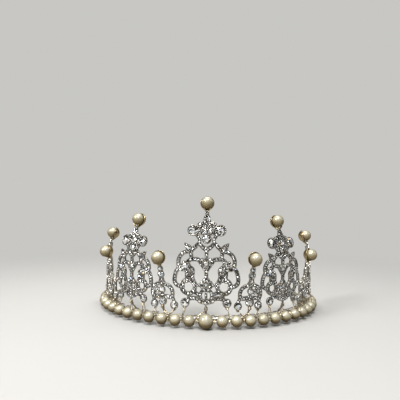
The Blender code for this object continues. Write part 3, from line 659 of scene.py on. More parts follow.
class Pattern:
    """The flat design of one casting. field is the distance to its outline, negative inside.
    small holds (u, h, radius, seat height), large (u, h, radius, bezel radius; 0 for a petal),
    grains (u, h)."""

    def __init__(self, kind, width, height):
        tall = kind == "tall"
        design = TALL if tall else LOW
        self.tall, self.wf, self.hf = tall, width, height
        self.slim, self.top_width, self.top_scale = SIZE_FACTORS[height]
        self.base_scale = min(1.0, 0.5 + 0.5 * min(width, height))
        self.us = np.arange(-20.0, 20.01, GRID)
        self.hs = np.arange(-0.2, 62.0, GRID)
        self.field = np.full((len(self.hs), len(self.us)), 9.0)
        self.small, self.large, self.grains = [], [], []
        self.stone_r = 0.66 * self.slim
        self.pitch = 1.50 * self.slim
        # big stones first: the rows of small ones keep clear of them
        for stones, both in ((design.stones, True), (design.lone_stones, False)):
            for stone in stones:
                self.add_stone(*stone, both)
        for petals, both in ((design.petals, True), (design.lone_petals, False)):
            for petal in petals:
                self.add_petals(*petal, both)
        self.neck_top = LOW_NECK_TOP
        if tall:
            self.add_neck(finial_height(kind, height) - FINIAL_DROP - NECK_CAP)
        for points, half_width, row in design.strokes:
            path = [(p[0] * self.width(p[1]), self.at_h(p[1])) for p in points]
            widths = [p[2] * self.slim for p in points] if len(points[0]) > 2 else None
            self.stroke(path, half_width and half_width * self.slim, row, widths)
        for u, h, r, half_width in design.rings:
            path = [((u + r * math.cos(t)) * width, self.at_h(h + r * math.sin(t)))
                    for t in np.linspace(0.3, 2 * math.pi + 0.3, 17)]
            self.stroke(path, half_width * self.slim, True)
        for points, half_width in design.lone_strokes:
            self.stroke(points, half_width, False, mirror=False)
        self.fill()
        self.stroke([(0, design.foot_top), (0, FOOT_H)], FOOT_HALF_WIDTH, False)
        self.field = np.maximum(self.field, 0.35 - self.hs[:, None])
        if tall:
            self.field = np.maximum(self.field, self.hs[:, None] - self.neck_top)
        self.front = filled(self, FRONT_LEVELS)
        self.back = filled(self, BACK_LEVELS)

    def at_h(self, h):
        return SCALE_H + (h - SCALE_H) * self.hf if h > SCALE_H else h

    def topness(self, h):
        """0 below the top motif and 1 within it; 0 throughout a low spire."""
        t = min(1.0, max(0.0, (h - TOP_FROM) / (TOP_FULL - TOP_FROM)))
        return t * t * (3 - 2 * t) if self.tall else 0.0

    def width(self, h):
        return self.wf + (self.top_width - self.wf) * self.topness(h)

    def stone_scale(self, h):
        return self.base_scale + (self.top_scale - self.base_scale) * self.topness(h)

    def add_stone(self, u, h, radius, bezel, both):
        scale = self.stone_scale(h)
        for sign in (1, -1) if u and both else (1,):
            x, y = sign * u * self.width(h), self.at_h(h)
            self.large.append((x, y, radius * scale, bezel * scale))
            # times and over the radius fixes the last bit, which can settle ties in fill()
            self.disc(x, y, bezel * scale * radius / radius)

    def add_petals(self, u, h, ring_r, count, r, first, both):
        scale = self.stone_scale(h)
        for sign in (1, -1) if u and both else (1,):
            for k in range(count):
                t = math.radians(first) + 2 * math.pi * k / count
                x = sign * (u * self.width(h) + ring_r * scale * math.cos(t))
                y = self.at_h(h) + ring_r * scale * math.sin(t)
                if any(math.hypot(x - other[0], y - other[1]) < r * scale + other[2] - 0.1
                       for other in self.large):
                    continue
                self.large.append((x, y, r * scale, 0.0))
                self.disc(x, y, (r + 0.26) * scale)

    def add_neck(self, top):
        """A tapered neck from the bell up to the finial, with a column of small stones."""
        self.neck_top = top + NECK_CAP
        low, high = self.at_h(53.3), top + 0.5
        n = max(1, round((high - low) / 1.5))
        for k in range(n):
            h = low + (high - low) * (k + 0.5) / n
            self.small.append((0, h, 0.62 * self.slim, NECK_OUT))
        self.stroke([(0, top), (0, self.at_h(54.6))], None, False, [1.15, 0.90 * self.slim])

    def window(self, u0, u1, h0, h1):
        """The part of the grid within a rectangle: its slices and coordinates."""
        i0, i1 = np.searchsorted(self.hs, (h0, h1))
        j0, j1 = np.searchsorted(self.us, (u0, u1))
        gu, gh = np.meshgrid(self.us[j0:j1], self.hs[i0:i1])
        return (slice(i0, i1), slice(j0, j1)), gu, gh

    def disc(self, u, h, r):
        reach = r + MARGIN
        win, gu, gh = self.window(u - reach, u + reach, h - reach, h + reach)
        self.field[win] = np.minimum(self.field[win], np.hypot(gu - u, gh - h) - r)

    def segment(self, a, b):
        """A tapered bar between two points (u, h, half width)."""
        reach = max(a[2], b[2]) + MARGIN
        win, gu, gh = self.window(min(a[0], b[0]) - reach, max(a[0], b[0]) + reach,
                                  min(a[1], b[1]) - reach, max(a[1], b[1]) + reach)
        e = (b - a)[:2]
        t = np.clip(((gu - a[0]) * e[0] + (gh - a[1]) * e[1]) / max(e @ e, 1e-12), 0, 1)
        d = np.hypot(gu - a[0] - t * e[0], gh - a[1] - t * e[1]) - (a[2] + (b[2] - a[2]) * t)
        self.field[win] = np.minimum(self.field[win], d)

    def stroke(self, path, half_width, row, widths=None, mirror=True):
        central = all(abs(point[0]) < 1e-6 for point in path)
        for sign in (1,) if central or not mirror else (1, -1):
            if widths:
                line = smooth_curve([(sign * p[0], p[1], w) for p, w in zip(path, widths)], 0.25)
            else:
                line = [np.array([p[0], p[1], half_width])
                        for p in smooth_curve([(sign * p[0], p[1]) for p in path], 0.5)]
            for a, b in zip(line, line[1:]):
                self.segment(a, b)
        if row:
            self.add_row(path, half_width, central)

    def add_row(self, path, half_width, central):
        """Small stones along a stroke, with a grain on each side between neighbours."""
        signs = (1,) if central else (1, -1)
        last = None
        for p, t in zip(*resample(smooth_curve(path, 0.25), self.pitch)):
            if (not central and p[0] < 0.55) or not self.free(p):
                last = None
                continue
            self.small += [(sign * p[0], p[1], self.stone_r, ROW_OUT) for sign in signs]
            if last is not None and np.hypot(*(p - last)) < self.pitch * 1.3:
                middle = (p + last) / 2
                across = np.array([-t[1], t[0]]) * (half_width - 0.20)
                for q in (middle + across, middle - across):
                    self.grains += [(sign * q[0], q[1]) for sign in signs]
            last = p

    def free(self, p):
        for u, h, r, _ in self.large:
            if math.hypot(p[0] - u, p[1] - h) < r + self.stone_r + 0.02:
                return False
        for u, h, r, _ in self.small:
            if math.hypot(p[0] - u, p[1] - h) < r + self.stone_r - 0.04:
                return False
        return True

    def fill(self):
        """Small stones and grains on the bare metal left between stones, widest room first."""
        room = np.full_like(self.field, 9.0)

        def take(u, h, r):
            win, gu, gh = self.window(u - r - 1.6, u + r + 1.6, h - r - 1.6, h + r + 1.6)
            room[win] = np.minimum(room[win], np.hypot(gu - u, gh - h) - r)

        for u, h, r, _ in self.large:
            take(u, h, r + 0.05)
        for u, h, r, _ in self.small:
            take(u, h, r)
        for u, h in self.grains:
            take(u, h, 0.18)
        above = self.hs[:, None] > 6.0
        # radius and distance kept from the metal's edge; the least size is a grain
        for r, edge in ((0.56, 0.66), (0.40, 0.50), (0.22, 0.27)):
            r, edge = r * self.slim, edge * self.slim
            for _ in range(400):
                score = np.where(above, np.minimum(room - r, -self.field - edge), -9.0)
                i, j = np.unravel_index(int(score.argmax()), score.shape)
                if score[i, j] < 0:
                    break
                u, h = float(self.us[j]), float(self.hs[i])
                if r > 0.3:
                    self.small.append((u, h, r, ROW_OUT))
                else:
                    self.grains.append((u, h))
                take(u, h, r)

    def value(self, points):
        """The field at points, bilinear."""
        x = (points[:, 0] - self.us[0]) / GRID
        y = (points[:, 1] - self.hs[0]) / GRID
        j = np.clip(x.astype(int), 0, len(self.us) - 2)
        i = np.clip(y.astype(int), 0, len(self.hs) - 2)
        fx, fy = x - j, y - i
        f = self.field
        return ((f[i, j] * (1 - fx) + f[i, j + 1] * fx) * (1 - fy)
                + (f[i + 1, j] * (1 - fx) + f[i + 1, j + 1] * fx) * fy)


def contours(field, us, hs, level):
    """Closed loops where the field equals level (marching squares)."""
    f = field - level
    f[np.abs(f) < 1e-9] = 1e-9
    inside = f < 0
    a, b, c, d = inside[:-1, :-1], inside[:-1, 1:], inside[1:, 1:], inside[1:, :-1]
    links = {}

    def cross(i, j, k, m):
        p, q = f[i, j], f[k, m]
        t = p / (p - q)
        return (us[j] + (us[m] - us[j]) * t, hs[i] + (hs[k] - hs[i]) * t)

    for i, j in np.argwhere(~((a == b) & (b == c) & (c == d))):
        i, j = int(i), int(j)
        corner = [(i, j), (i, j + 1), (i + 1, j + 1), (i + 1, j)]
        state = [bool(inside[q]) for q in corner]
        hits = [tuple(sorted((corner[k], corner[(k + 1) % 4])))
                for k in range(4) if state[k] != state[(k + 1) % 4]]
        if len(hits) == 2:
            pairs = [hits]
        elif (sum(f[q] for q in corner) < 0) != state[1]:
            pairs = [(hits[0], hits[1]), (hits[2], hits[3])]
        else:
            pairs = [(hits[0], hits[3]), (hits[1], hits[2])]
        for p, q in pairs:
            links.setdefault(p, []).append(q)
            links.setdefault(q, []).append(p)
    loops, seen = [], set()
    for start in sorted(links):
        if start in seen:
            continue
        loop, here, back = [], start, None
        while here not in seen:
            seen.add(here)
            loop.append(cross(*here[0], *here[1]))
            onward = [q for q in links[here] if q != back]
            back, here = here, (onward[0] if onward else here)
        if len(loop) > 9:
            loops.append(np.array(loop))
    return loops


def even_loop(loop, step):
    """A closed loop smoothed a little and resampled about step apart."""
    for _ in range(2):
        loop = loop * 0.5 + (np.roll(loop, 1, 0) + np.roll(loop, -1, 0)) * 0.25
    closed = np.vstack([loop, loop[:1]])
    reached = np.concatenate([[0], np.cumsum(np.hypot(*np.diff(closed, axis=0).T))])
    n = max(6, round(reached[-1] / step))
    at = np.arange(n) * reached[-1] / n
    return np.stack([np.interp(at, reached, closed[:, k]) for k in range(2)], -1)


def area(loop):
    x, y = loop[:, 0], loop[:, 1]
    return abs(float(np.sum(x * np.roll(y, -1) - y * np.roll(x, -1)))) / 2


def filled(pattern, levels):
    """Triangles that fill the pattern, with a row of points on each level. Returns points, the
    level index of each point, faces, and the outline loops' indices."""
    points, point_levels, edges, outline = [], [], [], []
    for k, level in enumerate(levels):
        for loop in contours(pattern.field, pattern.us, pattern.hs, level):
            if area(loop) < 0.05:
                continue
            loop = even_loop(loop, OUTLINE_STEP)
            n = len(points)
            points += [Vector(q) for q in loop]
            point_levels += [k] * len(loop)
            edges += [(n + i, n + (i + 1) % len(loop)) for i in range(len(loop))]
            if k == 0:
                outline.append(list(range(n, n + len(loop))))
    verts, _, faces, origins, *_ = delaunay_2d_cdt(points, edges, [], 0, 1e-7)
    source = [o[0] if o else -1 for o in origins]
    index = {w: i for i, w in enumerate(source) if w >= 0}
    verts = np.array([tuple(q) for q in verts])
    vert_levels = np.array([point_levels[w] if w >= 0 else 0 for w in source])
    centres = np.array([verts[list(face)].mean(0) for face in faces])
    faces = [face for face, keep in zip(faces, pattern.value(centres) < 0.0) if keep]
    return verts, vert_levels, faces, [[index[i] for i in loop] for loop in outline]


@cache
def pattern_of(kind, width, height):
    return Pattern(kind, width, height)


def site_pattern(site):
    return pattern_of(site.casting.kind, site.casting.width, site.casting.height)


# ---- castings --------------------------------------------------------------------------------
class CastingBuilder:
    """Wraps a flat pattern onto its site: a metal plate with grains and bosses, and its stones."""

    def __init__(self, site):
        self.site, self.pattern = site, site_pattern(site)
        self.plate, self.recess = Shells(), []
        self.stones, self.tones = Shells(), []

    def put(self, u, h, out):
        u, h = np.asarray(u, float), np.asarray(h, float)
        site = self.site
        s = site.arc + site.side * (u + sway(site.casting.kind, h))
        return wall(s, h, out, site.casting)

    def frame_at(self, u, h, out):
        """A point of the casting, with unit vectors across, up and out of its face."""
        across = self.put(u + 0.05, h, out) - self.put(u - 0.05, h, out)
        up = self.put(u, h + 0.05, out) - self.put(u, h - 0.05, out)
        across /= np.linalg.norm(across)
        up -= across * up.dot(across)
        up /= np.linalg.norm(up)
        return self.put(u, h, out), across, up, np.cross(across, up) * self.site.side

    def add_plate(self):
        front, front_levels, front_faces, front_loops = self.pattern.front
        back, back_levels, back_faces, back_loops = self.pattern.back
        verts = np.concatenate([
            self.put(front[:, 0], front[:, 1], np.array(FRONT_Z)[front_levels]),
            self.put(back[:, 0], back[:, 1], np.array(BACK_Z)[back_levels])])
        n = len(front)
        faces = [tuple(face) for face in front_faces]
        faces += [tuple(n + i for i in face[::-1]) for face in back_faces]
        for a, b in zip(front_loops, back_loops):
            for i in range(len(a)):
                j = (i + 1) % len(a)
                faces.append((a[i], b[i] + n, b[j] + n, a[j]))
        # painted shade for each point, darkest on the channel floors between stones
        recess = np.concatenate([np.array(FRONT_DARK)[front_levels],
                                 np.array(BACK_DARK)[back_levels]])
        # the foot has no recesses and gets little painted shade
        flat_h = np.concatenate([front[:, 1], back[:, 1]])
        recess = np.where(flat_h < 6.4, np.minimum(recess, 0.15), recess)
        used = sorted({i for face in faces for i in face})
        remap = {i: k for k, i in enumerate(used)}
        self.plate.add(verts[used], [tuple(remap[i] for i in face) for face in faces])
        self.recess.extend(recess[used])

    def set_stone(self, u, h, radius, out, tilt, petal=False):
        """A stone turned at random about its axis and tilted by up to tilt either way."""
        big = radius > BIG_STONE
        v, faces = LARGE_CUT if big else SMALL_CUT
        spin = rng.uniform(0, math.pi)
        c, s = math.cos(spin), math.sin(spin)
        v = np.stack([v[:, 0] * c - v[:, 1] * s, v[:, 0] * s + v[:, 1] * c, v[:, 2]], -1) * radius
        origin, across, up, out_of = self.frame_at(u, h, out)
        out_of = out_of + across * rng.uniform(-tilt, tilt) + up * rng.uniform(-tilt, tilt)
        out_of /= np.linalg.norm(out_of)
        across = across - out_of * across.dot(out_of)
        across /= np.linalg.norm(across)
        up = np.cross(out_of, across) * self.site.side
        material = 1 if big or petal else 0
        self.stones.add(*placed((v, faces), origin, across, up, out_of), material)
        roll = rng.random()
        if petal:
            level, facet_painted_light = 1.0 + 0.10 * roll, PETAL_PAINTED_LIGHT
        elif big:
            level, facet_painted_light = 0.92 + 0.25 * roll, LARGE_PAINTED_LIGHT
        else:
            # one small stone in five is dull
            level = 0.35 + 0.8 * roll if roll < 0.20 else 0.85 + 0.35 * roll
            facet_painted_light = SMALL_PAINTED_LIGHT
        # each point's tone: the stone's random level times the painted light over its facets
        self.tones.extend(level * facet_painted_light)

    def set_grain(self, u, h, r, out, stretch=1.0):
        origin, across, up, out_of = self.frame_at(u, h, out)
        self.plate.add(*placed(GRAIN, origin, across * r, up * r, out_of * (stretch * r)))
        self.recess.extend([0.0] * len(GRAIN[0]))

    def set_bezel_grains(self, u, h, radius):
        """Grains evenly round a large stone."""
        big = radius > BIG_STONE
        count = max(6, round(2 * math.pi * radius / 1.05)) if radius > 0.7 else 4
        for k in range(count):
            t = 2 * math.pi * (k + 0.5) / count
            x, y = (radius + 0.06) * math.cos(t), (radius + 0.06) * math.sin(t)
            self.set_grain(u + x, h + y, r=0.24 if big else 0.18, out=0.58, stretch=1.15)

    def set_boss(self, u, h, r, rise):
        """A low bump on the back, behind a stone."""
        origin, across, up, out_of = self.frame_at(u, h, -0.50)
        self.plate.add(*placed(BOSS, origin, across * r, up * r, -out_of * rise))
        # painted shade at the boss's foot, none on its top
        self.recess.extend([0.70] * 8 + [0.10] * 8 + [0.0])

    def build(self):
        self.add_plate()
        pattern = self.pattern
        for u, h, r, out in pattern.small:
            self.set_stone(u, h, r, out - 0.10, tilt=0.10)
        for u, h in pattern.grains:
            self.set_grain(u, h, r=0.20, out=0.52)
        for u, h, r, bezel in pattern.large:
            petal = bezel <= 0
            self.set_stone(u, h, r, out=0.50, tilt=0.05, petal=petal)
            if not petal:
                self.set_bezel_grains(u, h, r)
        for u, h, r, _ in pattern.small:
            self.set_boss(u, h, r * 0.80, rise=0.22)
        for u, h, r, _ in pattern.large:
            self.set_boss(u, h, r * 0.78, rise=0.26)
        name = self.site.name
        # the plate carries its painted recess shade as an attribute
        make_object(f"{name}_metal", *self.plate.shape(), [silver], "silver_plate", smooth=42,
                    recess=self.recess, replaces=name)
        make_object(f"{name}_stones", *self.stones.shape(), [pave, brilliant], "rhinestone",
                    smooth=42 if False else None or 180, tone=self.tones) if False else \
            self.make_stones(name)

    def make_stones(self, name):
        """Facets stay flat, so the mesh is made without smooth shading."""
        make_flat_object(f"{name}_stones", self.stones, self.tones)


def make_flat_object(name, stones, tones):
    mesh = bpy.data.meshes.new(name)
    verts, faces = stones.shape()
    mesh.from_pydata([tuple(point) for point in verts * MM], [], faces)
    mesh.materials.append(pave)
    mesh.materials.append(brilliant)
    mesh.polygons.foreach_set("material_index", np.asarray(stones.materials, np.int32))
    # tone: random stone tone times the painted light over the facets
    attribute = mesh.attributes.new("tone", "FLOAT", "POINT")
    attribute.data.foreach_set("value", np.asarray(tones, np.float32))
    mesh.validate()
    bm = bmesh.new()
    bm.from_mesh(mesh)
    bmesh.ops.recalc_face_normals(bm, faces=bm.faces)
    bm.to_mesh(mesh)
    bm.free()
    obj = bpy.data.objects.new(name, mesh)
    bpy.context.scene.collection.objects.link(obj)
    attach(obj, ROOT)


for site in SITES:
    CastingBuilder(site).build()


# ---- finials: pearl, dish cup and its stem ---------------------------------------------------
def dish_profile(inner, outer):
    """A thin spun bowl with a rolled rim, round the underside of a ball."""
    end = math.radians(74)
    rim_r = (inner + outer) / 2 + 0.02
    rim_x, rim_z = rim_r * math.sin(end), -rim_r * math.cos(end)
    bowl = [(0, -outer)]
    bowl += [(outer * math.sin(a), -outer * math.cos(a)) for a in np.linspace(0, end, 12)[1:]]
    bowl += [(rim_x + 0.26 * math.cos(q), rim_z + 0.26 * math.sin(q))
             for q in np.linspace(-0.5, math.pi - 0.1, 7)]
    bowl += [(inner * math.sin(a), -inner * math.cos(a)) for a in np.linspace(end, 0, 12)[:-1]]
    return bowl + [(0, -inner)]


def make_finial(site):
    casting = site.casting
    low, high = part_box(f"finial_pearl_{site.name}")
    centre = np.array((low + high) / 2) / MM
    h = finial_height(casting.kind, casting.height)
    x, outward = plan_axes(site.arc + site.side * sway(casting.kind, h))
    tilt = math.radians(casting.tilt)
    z = outward * math.cos(tilt) + UP * math.sin(tilt)
    y = np.cross(z, x)
    ball = revolve(ball_profile(FINIAL_R, 28), 48)
    make_object(f"finial_pearl_{site.name}_bead", *placed(ball, centre, x, y, z), [nacre_top],
                "pearl", smooth=60, replaces=f"finial_pearl_{site.name}")

    inner, outer = FINIAL_R + 0.06, FINIAL_R + 0.46
    cup = Shells()
    cup.add(*placed(revolve(dish_profile(inner, outer), 40), centre - z * 0.75, x, y, z))
    # two prongs and a stem from the casting's neck up to the bowl
    neck_top = site_pattern(site).neck_top
    neck_arc = site.arc + site.side * sway(casting.kind, neck_top)
    neck = wall(neck_arc, neck_top - 0.5, -0.05, casting)
    for k in (-1, 1):
        toward_tip = x * k * 1.85 - y * (FINIAL_R * 0.80) + z * 0.55
        tip = centre + toward_tip / np.linalg.norm(toward_tip) * (FINIAL_R + 0.12)
        middle = neck + x * k * 1.15 + (centre - neck) * 0.20 + z * 0.55
        route = smooth_curve([neck + x * k * 0.35, middle, tip], 0.35)
        cup.add(*sweep(route, np.linspace(0.50, 0.34, len(route)), 8))
    bowl_foot = centre - y * (outer * 0.80) - z * (outer * 0.55)
    middle = (neck + bowl_foot) / 2 - z * 0.25
    route = smooth_curve([neck - z * 0.25, middle, bowl_foot], 0.35)
    cup.add(*sweep(route, np.linspace(0.62, 0.80, len(route)), 10))
    make_object(f"cup_{site.name}_dish", *cup.shape(), [cup_metal], "cup_plate", smooth=50,
                replaces=f"cup_{site.name}")


for site in SITES:
    make_finial(site)


# ---- strand pearls -------------------------------------------------------------------------
def make_strand_pearl(joint):
    child = joint["child"]
    r = MIDDLE_PEARL_R if child.endswith("middle") else PEARL_R
    z = np.array(joint["axis"], float)
    z /= np.linalg.norm(z)
    x = np.cross(UP, z)
    x /= np.linalg.norm(x)
    bead = revolve(bead_profile(r, HOLE_R, HOLE_LIP, 26), 44)
    centre = np.array(joint["pos_m"]) / MM
    make_object(f"{child}_bead", *placed(bead, centre, x, np.cross(z, x), z), [nacre], "pearl",
                smooth=50, body=child, replaces=child)


for joint in frame["joints"]:
    make_strand_pearl(joint)


# ---- stringing wire --------------------------------------------------------------------------
# How each end turns in to the foundation wire: arc beyond the last pearl, offset, height.
STRINGING_TAIL = [(4.1, -0.5, 0), (4.5, -1.6, 0), (4.5, -3.0, 0.1), (4.4, -4.2, 0.6),
                  (3.9, -5.3, 1.0)]


def make_stringing_wire():
    right_tail, left_tail = (
        [place(sign * (LAST + beyond), off, h) for beyond, off, h in STRINGING_TAIL]
        for sign in (-1, 1))
    run = [place(s, 0, 0) for s in np.linspace(-LAST - 3.6, LAST + 3.6, 181)]
    make_object("stringing_wire_drawn", *sweep(right_tail[::-1] + run + left_tail, STRAND_R, 8),
                [wire_metal], "binding_wire", smooth=60, replaces="stringing_wire")


make_stringing_wire()


# ---- foundation wire: drawn round wire whose ends are hammered flat and pierced ---------------
def add_eye(rail, sign):
    end_arc = sign * (RAIL_END - 0.8)
    px, py, _, _ = plan(end_arc, RAIL_OFF)
    origin = np.array([px, py, STRAND_Z])
    along, outward = plan_axes(end_arc)
    along = along * sign
    half = EYE_T / 2
    profile = [
        (EYE_HOLE + 0.10, -half), (EYE_R - 0.22, -half), (EYE_R, -half + 0.2),
        (EYE_R, half - 0.2), (EYE_R - 0.22, half), (EYE_HOLE + 0.10, half),
        (EYE_HOLE, half - 0.12), (EYE_HOLE, -half + 0.12)]
    rail.add(*placed(revolve(profile, 36), origin + along * EYE_AT, along, UP, outward))
    # shank: the round wire spreads into the flat
    rings = []
    for t in np.linspace(0, 1, 9):
        flat = t * t * (3 - 2 * t)
        centre = origin + along * (-0.6 + t * (EYE_AT - EYE_R * 0.72 + 0.6))
        thick = RAIL_R * (1 - flat) + half * 0.98 * flat
        tall = RAIL_R * (1 - flat) + 1.75 * flat
        rings.append([centre + outward * thick * math.cos(q) + UP * tall * math.sin(q)
                      for q in circle(16)])
    rail.add(np.concatenate(rings), tube_faces(9, 16))


def make_foundation_wire():
    rail = Shells()
    core = [place(s, RAIL_OFF, 0) for s in np.linspace(-RAIL_END, RAIL_END, 161)]
    rail.add(*sweep(core, RAIL_R, 16))
    for sign in (1, -1):
        add_eye(rail, sign)
    # solder at the foot of each casting
    blob = revolve(ball_profile(1.0, 12), 16)
    for site in SITES:
        along, outward = plan_axes(site.arc)
        centre = place(site.arc, RAIL_OFF, 0.55)
        rail.add(*placed(blob, centre, along * 1.5, outward * 0.95, UP * 0.95))
    # a little painted shade all along the wire
    make_object("foundation_wire_drawn", *rail.shape(), [silver], "silver_plate", smooth=50,
                recess=[0.12] * rail.count, replaces="foundation_wire")


make_foundation_wire()

# ---- lacing wire: one fine wire wound along the strand, with ties up to the castings ----------
# One turn through a gap between pearls: arc from the gap, offset, height.
LACE_TURN = [
    (-1.9, -6.55, 1.15), (-1.1, -5.4, 1.62), (-0.35, -3.4, 2.35), (-0.05, -1.4, 2.05),
    (0, 0.0, 1.2), (0, 0.90, 0.35), (0, 0.92, -0.35), (0, 0.1, -1.0), (0, -2.4, -1.45),
    (0.05, -5.2, -1.6), (0.25, -6.5, -0.9), (0.7, -6.75, 0.2), (1.5, -6.6, 1.0)]
# Where the ties hold a casting: u before the width factor, h.
TIE_SPOTS = {"tall": ((11.3, 6.2), (-11.3, 6.2), (0.0, 4.6)),
             "low": ((5.0, 4.9), (-6.6, 4.9), (0.0, 4.9))}


def pearl_gaps():
    """Arc positions of the middles of the gaps between the strand's pearls."""
    arcs = sorted([0.0] + [sign * (FIRST + PITCH * i) for i in range(PER_SIDE)
                           for sign in (1, -1)])
    radii = [PEARL_R if s else MIDDLE_PEARL_R for s in arcs]
    return [(a + ra + b - rb) / 2 for a, b, ra, rb in zip(arcs, arcs[1:], radii, radii[1:])]


GAPS = pearl_gaps()


def add_tie(lace, s, h, casting):
    """A loop from a spot on a casting down round the strand's wire."""
    # it goes down to the nearer gap on the side of the front middle
    gap = min(GAPS, key=lambda g: abs(g - s) + (0.8 if abs(g) > abs(s) else 0.0))
    if abs(gap - s) < 0.4:
        return
    top = wall(s, h, 0.0, casting)
    _, outward = plan_axes(s)
    front, back = top + outward * 0.55, top - outward * 0.55
    shift = 0.16 if gap > s else -0.16
    if abs(s) < 0.1:
        # over the larger middle pearl the tie stands a little higher
        over = [place(gap * 0.36, -0.2, 4.38), place(gap * 0.74, 0.15, 3.0)]
        behind = [place(gap * 0.40, -1.9, 3.95)]
    else:
        between = (s * 2 + gap) / 3
        over = [place(between, -0.2, (h + 1.6) * 0.62)]
        behind = [place(between + 0.3, -1.9, (h + 1.0) * 0.62)]
    under = [place(gap + shift, off, z) for off, z in (
        (0.45, 1.55), (0.98, 0.45), (0.95, -0.45), (0.0, -1.02), (-1.1, -0.3))]
    loop = [back, top + UP * 0.55, front, *over, *under,
            place(gap + shift * 0.3, -1.6, 1.6), *behind, back - UP * 0.1]
    lace.add(*sweep(smooth_curve(loop, 0.4), 0.19, 6))


def add_foot_turns(lace, site):
    """Three turns of the wire round a casting's foot."""
    along, outward = plan_axes(site.arc)
    turns = []
    for q in np.linspace(0, 6 * math.pi, 43):
        centre = wall(site.arc, 6.9 - 0.62 * q / (2 * math.pi), 0.0, site.casting)
        turns.append(centre + along * 0.80 * math.cos(q) + outward * 0.86 * math.sin(q))
    lace.add(*sweep(turns, 0.21, 6))


def add_ring(lace, s, h, casting):
    centre = wall(s, h + 0.15, 0.0, casting)
    along, _ = plan_axes(s)
    points = [centre + along * 0.72 * math.cos(q) + UP * 0.72 * math.sin(q) for q in circle(20)]
    lace.add(*sweep(points, 0.24, 7, closed=True))


def make_lacing_wire():
    lace = Shells()
    run = [place(gap + ds, off, h) for gap in GAPS for ds, off, h in LACE_TURN]
    lace.add(*sweep(smooth_curve(run, 0.45), 0.22, 6))
    for site in SITES:
        casting = site.casting
        spots = [(u * site.side * casting.width, h) for u, h in TIE_SPOTS[casting.kind]]
        for u, h in spots:
            add_tie(lace, site.arc + u, h, casting)
        add_foot_turns(lace, site)
        for u, h in spots:
            if u:
                add_ring(lace, site.arc + u, h, casting)
    make_object("lacing_wire_wound", *lace.shape(), [wire_metal], "binding_wire", smooth=60,
                replaces="lacing_wire")


make_lacing_wire()

# ---- floor and world (metres) ------------------------------------------------------------------
BACKDROP = (0.575, 0.570, 0.550, 1)
FLOOR_HALF_WIDTH, FLOOR_FRONT, SWEEP_START, SWEEP_R, WALL_TOP = 1.6, -0.9, 0.35, 0.45, 1.6
FLOOR_DROP = 0.00002


def floor_material():
    """Matt paper. Far from the tiara the camera sees it as an evenly lit backdrop."""
    material, tree, shader = new_material("floor_look")
    mottling = add_node(tree, "TexNoise", {"Scale": 6.0, "Detail": 3.0}).outputs["Fac"]
    tone = ramp(tree, mottling, [(0.35, (0.475, 0.472, 0.460)), (0.65, (0.495, 0.492, 0.480))])
    feed(tree, shader, {"Base Color": tone, "Roughness": 0.85})
    position = add_node(tree, "NewGeometry").outputs["Position"]
    length = add_node(tree, "VectorMath", {0: position}, operation="LENGTH").outputs["Value"]
    far = map_range(tree, length, source=(0.10, 0.42), to=(0.0, 1.0), interpolation="SMOOTHSTEP")
    camera_ray = add_node(tree, "LightPath").outputs["Is Camera Ray"]
    glow = add_node(tree, "Emission", {"Color": BACKDROP}).outputs["Emission"]
    mix = add_node(tree, "MixShader", {
        "Fac": multiply(tree, far, camera_ray), 1: shader.outputs["BSDF"], 2: glow})
    feed(tree, tree.nodes["Material Output"], {"Surface": mix.outputs["Shader"]})
    return material


def make_floor():
    """A floor that sweeps up into a wall behind the tiara."""
    profile = [(FLOOR_FRONT, 0.0), (SWEEP_START, 0.0)]
    profile += [(SWEEP_START + SWEEP_R * math.sin(a), SWEEP_R - SWEEP_R * math.cos(a))
                for a in np.linspace(0.1, math.pi / 2, 12)]
    profile += [(SWEEP_START + SWEEP_R, WALL_TOP)]
    mesh = bpy.data.meshes.new("floor")
    verts = [(x, y, z - FLOOR_DROP)
             for x in (-FLOOR_HALF_WIDTH, FLOOR_HALF_WIDTH) for y, z in profile]
    n = len(profile)
    mesh.from_pydata(verts, [], [(i, i + 1, n + i + 1, n + i) for i in range(n - 1)])
    mesh.shade_smooth()
    mesh.materials.append(floor_material())
    floor = bpy.data.objects.new("floor", mesh)
    bpy.context.scene.collection.objects.link(floor)


def make_world():
    """Dim warm light all round; the camera sees the backdrop's colour instead."""
    world = bpy.data.worlds.new("studio")
    world.use_nodes = True
    tree = world.node_tree
    dim = tree.nodes["Background"]
    feed(tree, dim, {"Color": (1.0, 0.98, 0.94, 1), "Strength": 0.10})
    seen = add_node(tree, "Background", {"Color": BACKDROP})
    mix = add_node(tree, "MixShader", {
        "Fac": add_node(tree, "LightPath").outputs["Is Camera Ray"],
        1: dim.outputs["Background"], 2: seen.outputs["Background"]})
    feed(tree, tree.nodes["World Output"], {"Surface": mix.outputs["Shader"]})
    bpy.context.scene.world = world


make_floor()
make_world()
bpy.context.scene.view_settings.view_transform = "Standard"

# ---- lights (metres, watts) --------------------------------------------------------------------
TIARA = (0, -0.01, 0.03)
BACK_WALL = (0, 0.78, 0.45)
WHITE, WARM, WARMER = (1, 1, 1), (1.0, 0.99, 0.965), (1.0, 0.985, 0.95)
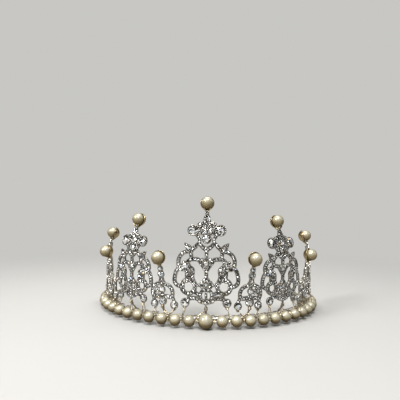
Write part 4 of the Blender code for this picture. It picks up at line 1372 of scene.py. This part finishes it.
# name, place, target, (width, height), power, colour
SOFTBOXES = [
    ("key_left", (-0.40, -0.32, 0.43), TIARA, (0.19, 0.17), 2.8, WARM),
    ("key_main", (0.03, -0.34, 0.58), TIARA, (0.20, 0.17), 3.2, WARM),
    ("top", (0.0, 0.10, 0.75), TIARA, (0.6, 0.4), 2.2, WARMER),
    ("rim_right", (0.55, 0.05, 0.30), TIARA, (0.25, 0.35), 0.25, WHITE),
    ("rim_left", (-0.55, 0.10, 0.28), TIARA, (0.25, 0.35), 0.18, WHITE),
    ("wall_wash", (0.0, 0.30, 0.95), BACK_WALL, (0.9, 0.2), 2.6, WHITE),
    ("front_fill", (-0.30, -1.10, 0.42), TIARA, (0.80, 0.75), 1.45, WARMER),
    ("front_fill_right", (0.45, -1.00, 0.20), TIARA, (0.30, 0.35), 0.30, WHITE),
]
for name, at, target, (width, height), power, colour in SOFTBOXES:
    light = bpy.data.lights.new(name, "AREA")
    light.shape = "RECTANGLE"
    light.size, light.size_y = width, height
    light.energy, light.color = power, colour
    lamp = bpy.data.objects.new(name, light)
    lamp.location = at
    lamp.rotation_euler = (Vector(target) - Vector(at)).to_track_quat("-Z", "Y").to_euler()
    bpy.context.scene.collection.objects.link(lamp)

# ---- camera ------------------------------------------------------------------------------------
AZIMUTH, ELEVATION, ROLL = math.radians(0.866), math.radians(7.729), math.radians(0.87)
DISTANCE = 0.225517                        # metres from the target
TARGET = Vector((0, (-30.0 + ELLIPSE_Y) * MM, 0.030))
# Where the target sits in view, right of and above the centre, per unit of depth.
TARGET_RIGHT, TARGET_UP = 0.01929255, -0.16811702
SENSOR_WIDTH, LENS = 36.0, 33.84           # mm


def make_camera():
    back = Vector((math.sin(AZIMUTH) * math.cos(ELEVATION),
                   -math.cos(AZIMUTH) * math.cos(ELEVATION), math.sin(ELEVATION)))
    forward = -back
    right = forward.cross(Vector((0, 0, 1))).normalized()
    up = right.cross(forward)
    c, s = math.cos(ROLL), math.sin(ROLL)
    right, up = right * c + up * s, up * c - right * s
    # turn the view so that the target lies off its centre
    ray = Vector((TARGET_RIGHT, TARGET_UP, 1.0)).normalized()
    axis = ray.cross(Vector((0, 0, 1)))
    turn = Matrix.Rotation(math.atan2(axis.length, ray.z), 3, axis.normalized())
    basis = Matrix((right, up, forward)).transposed() @ turn
    rotation = Matrix((basis.col[0], basis.col[1], -basis.col[2])).transposed()
    data = bpy.data.cameras.new("camera")
    data.sensor_width = SENSOR_WIDTH
    data.lens = LENS
    data.clip_start = 0.005
    camera = bpy.data.objects.new("camera", data)
    camera.matrix_world = Matrix.Translation(TARGET + back * DISTANCE) @ rotation.to_4x4()
    bpy.context.scene.collection.objects.link(camera)
    bpy.context.scene.camera = camera


make_camera()
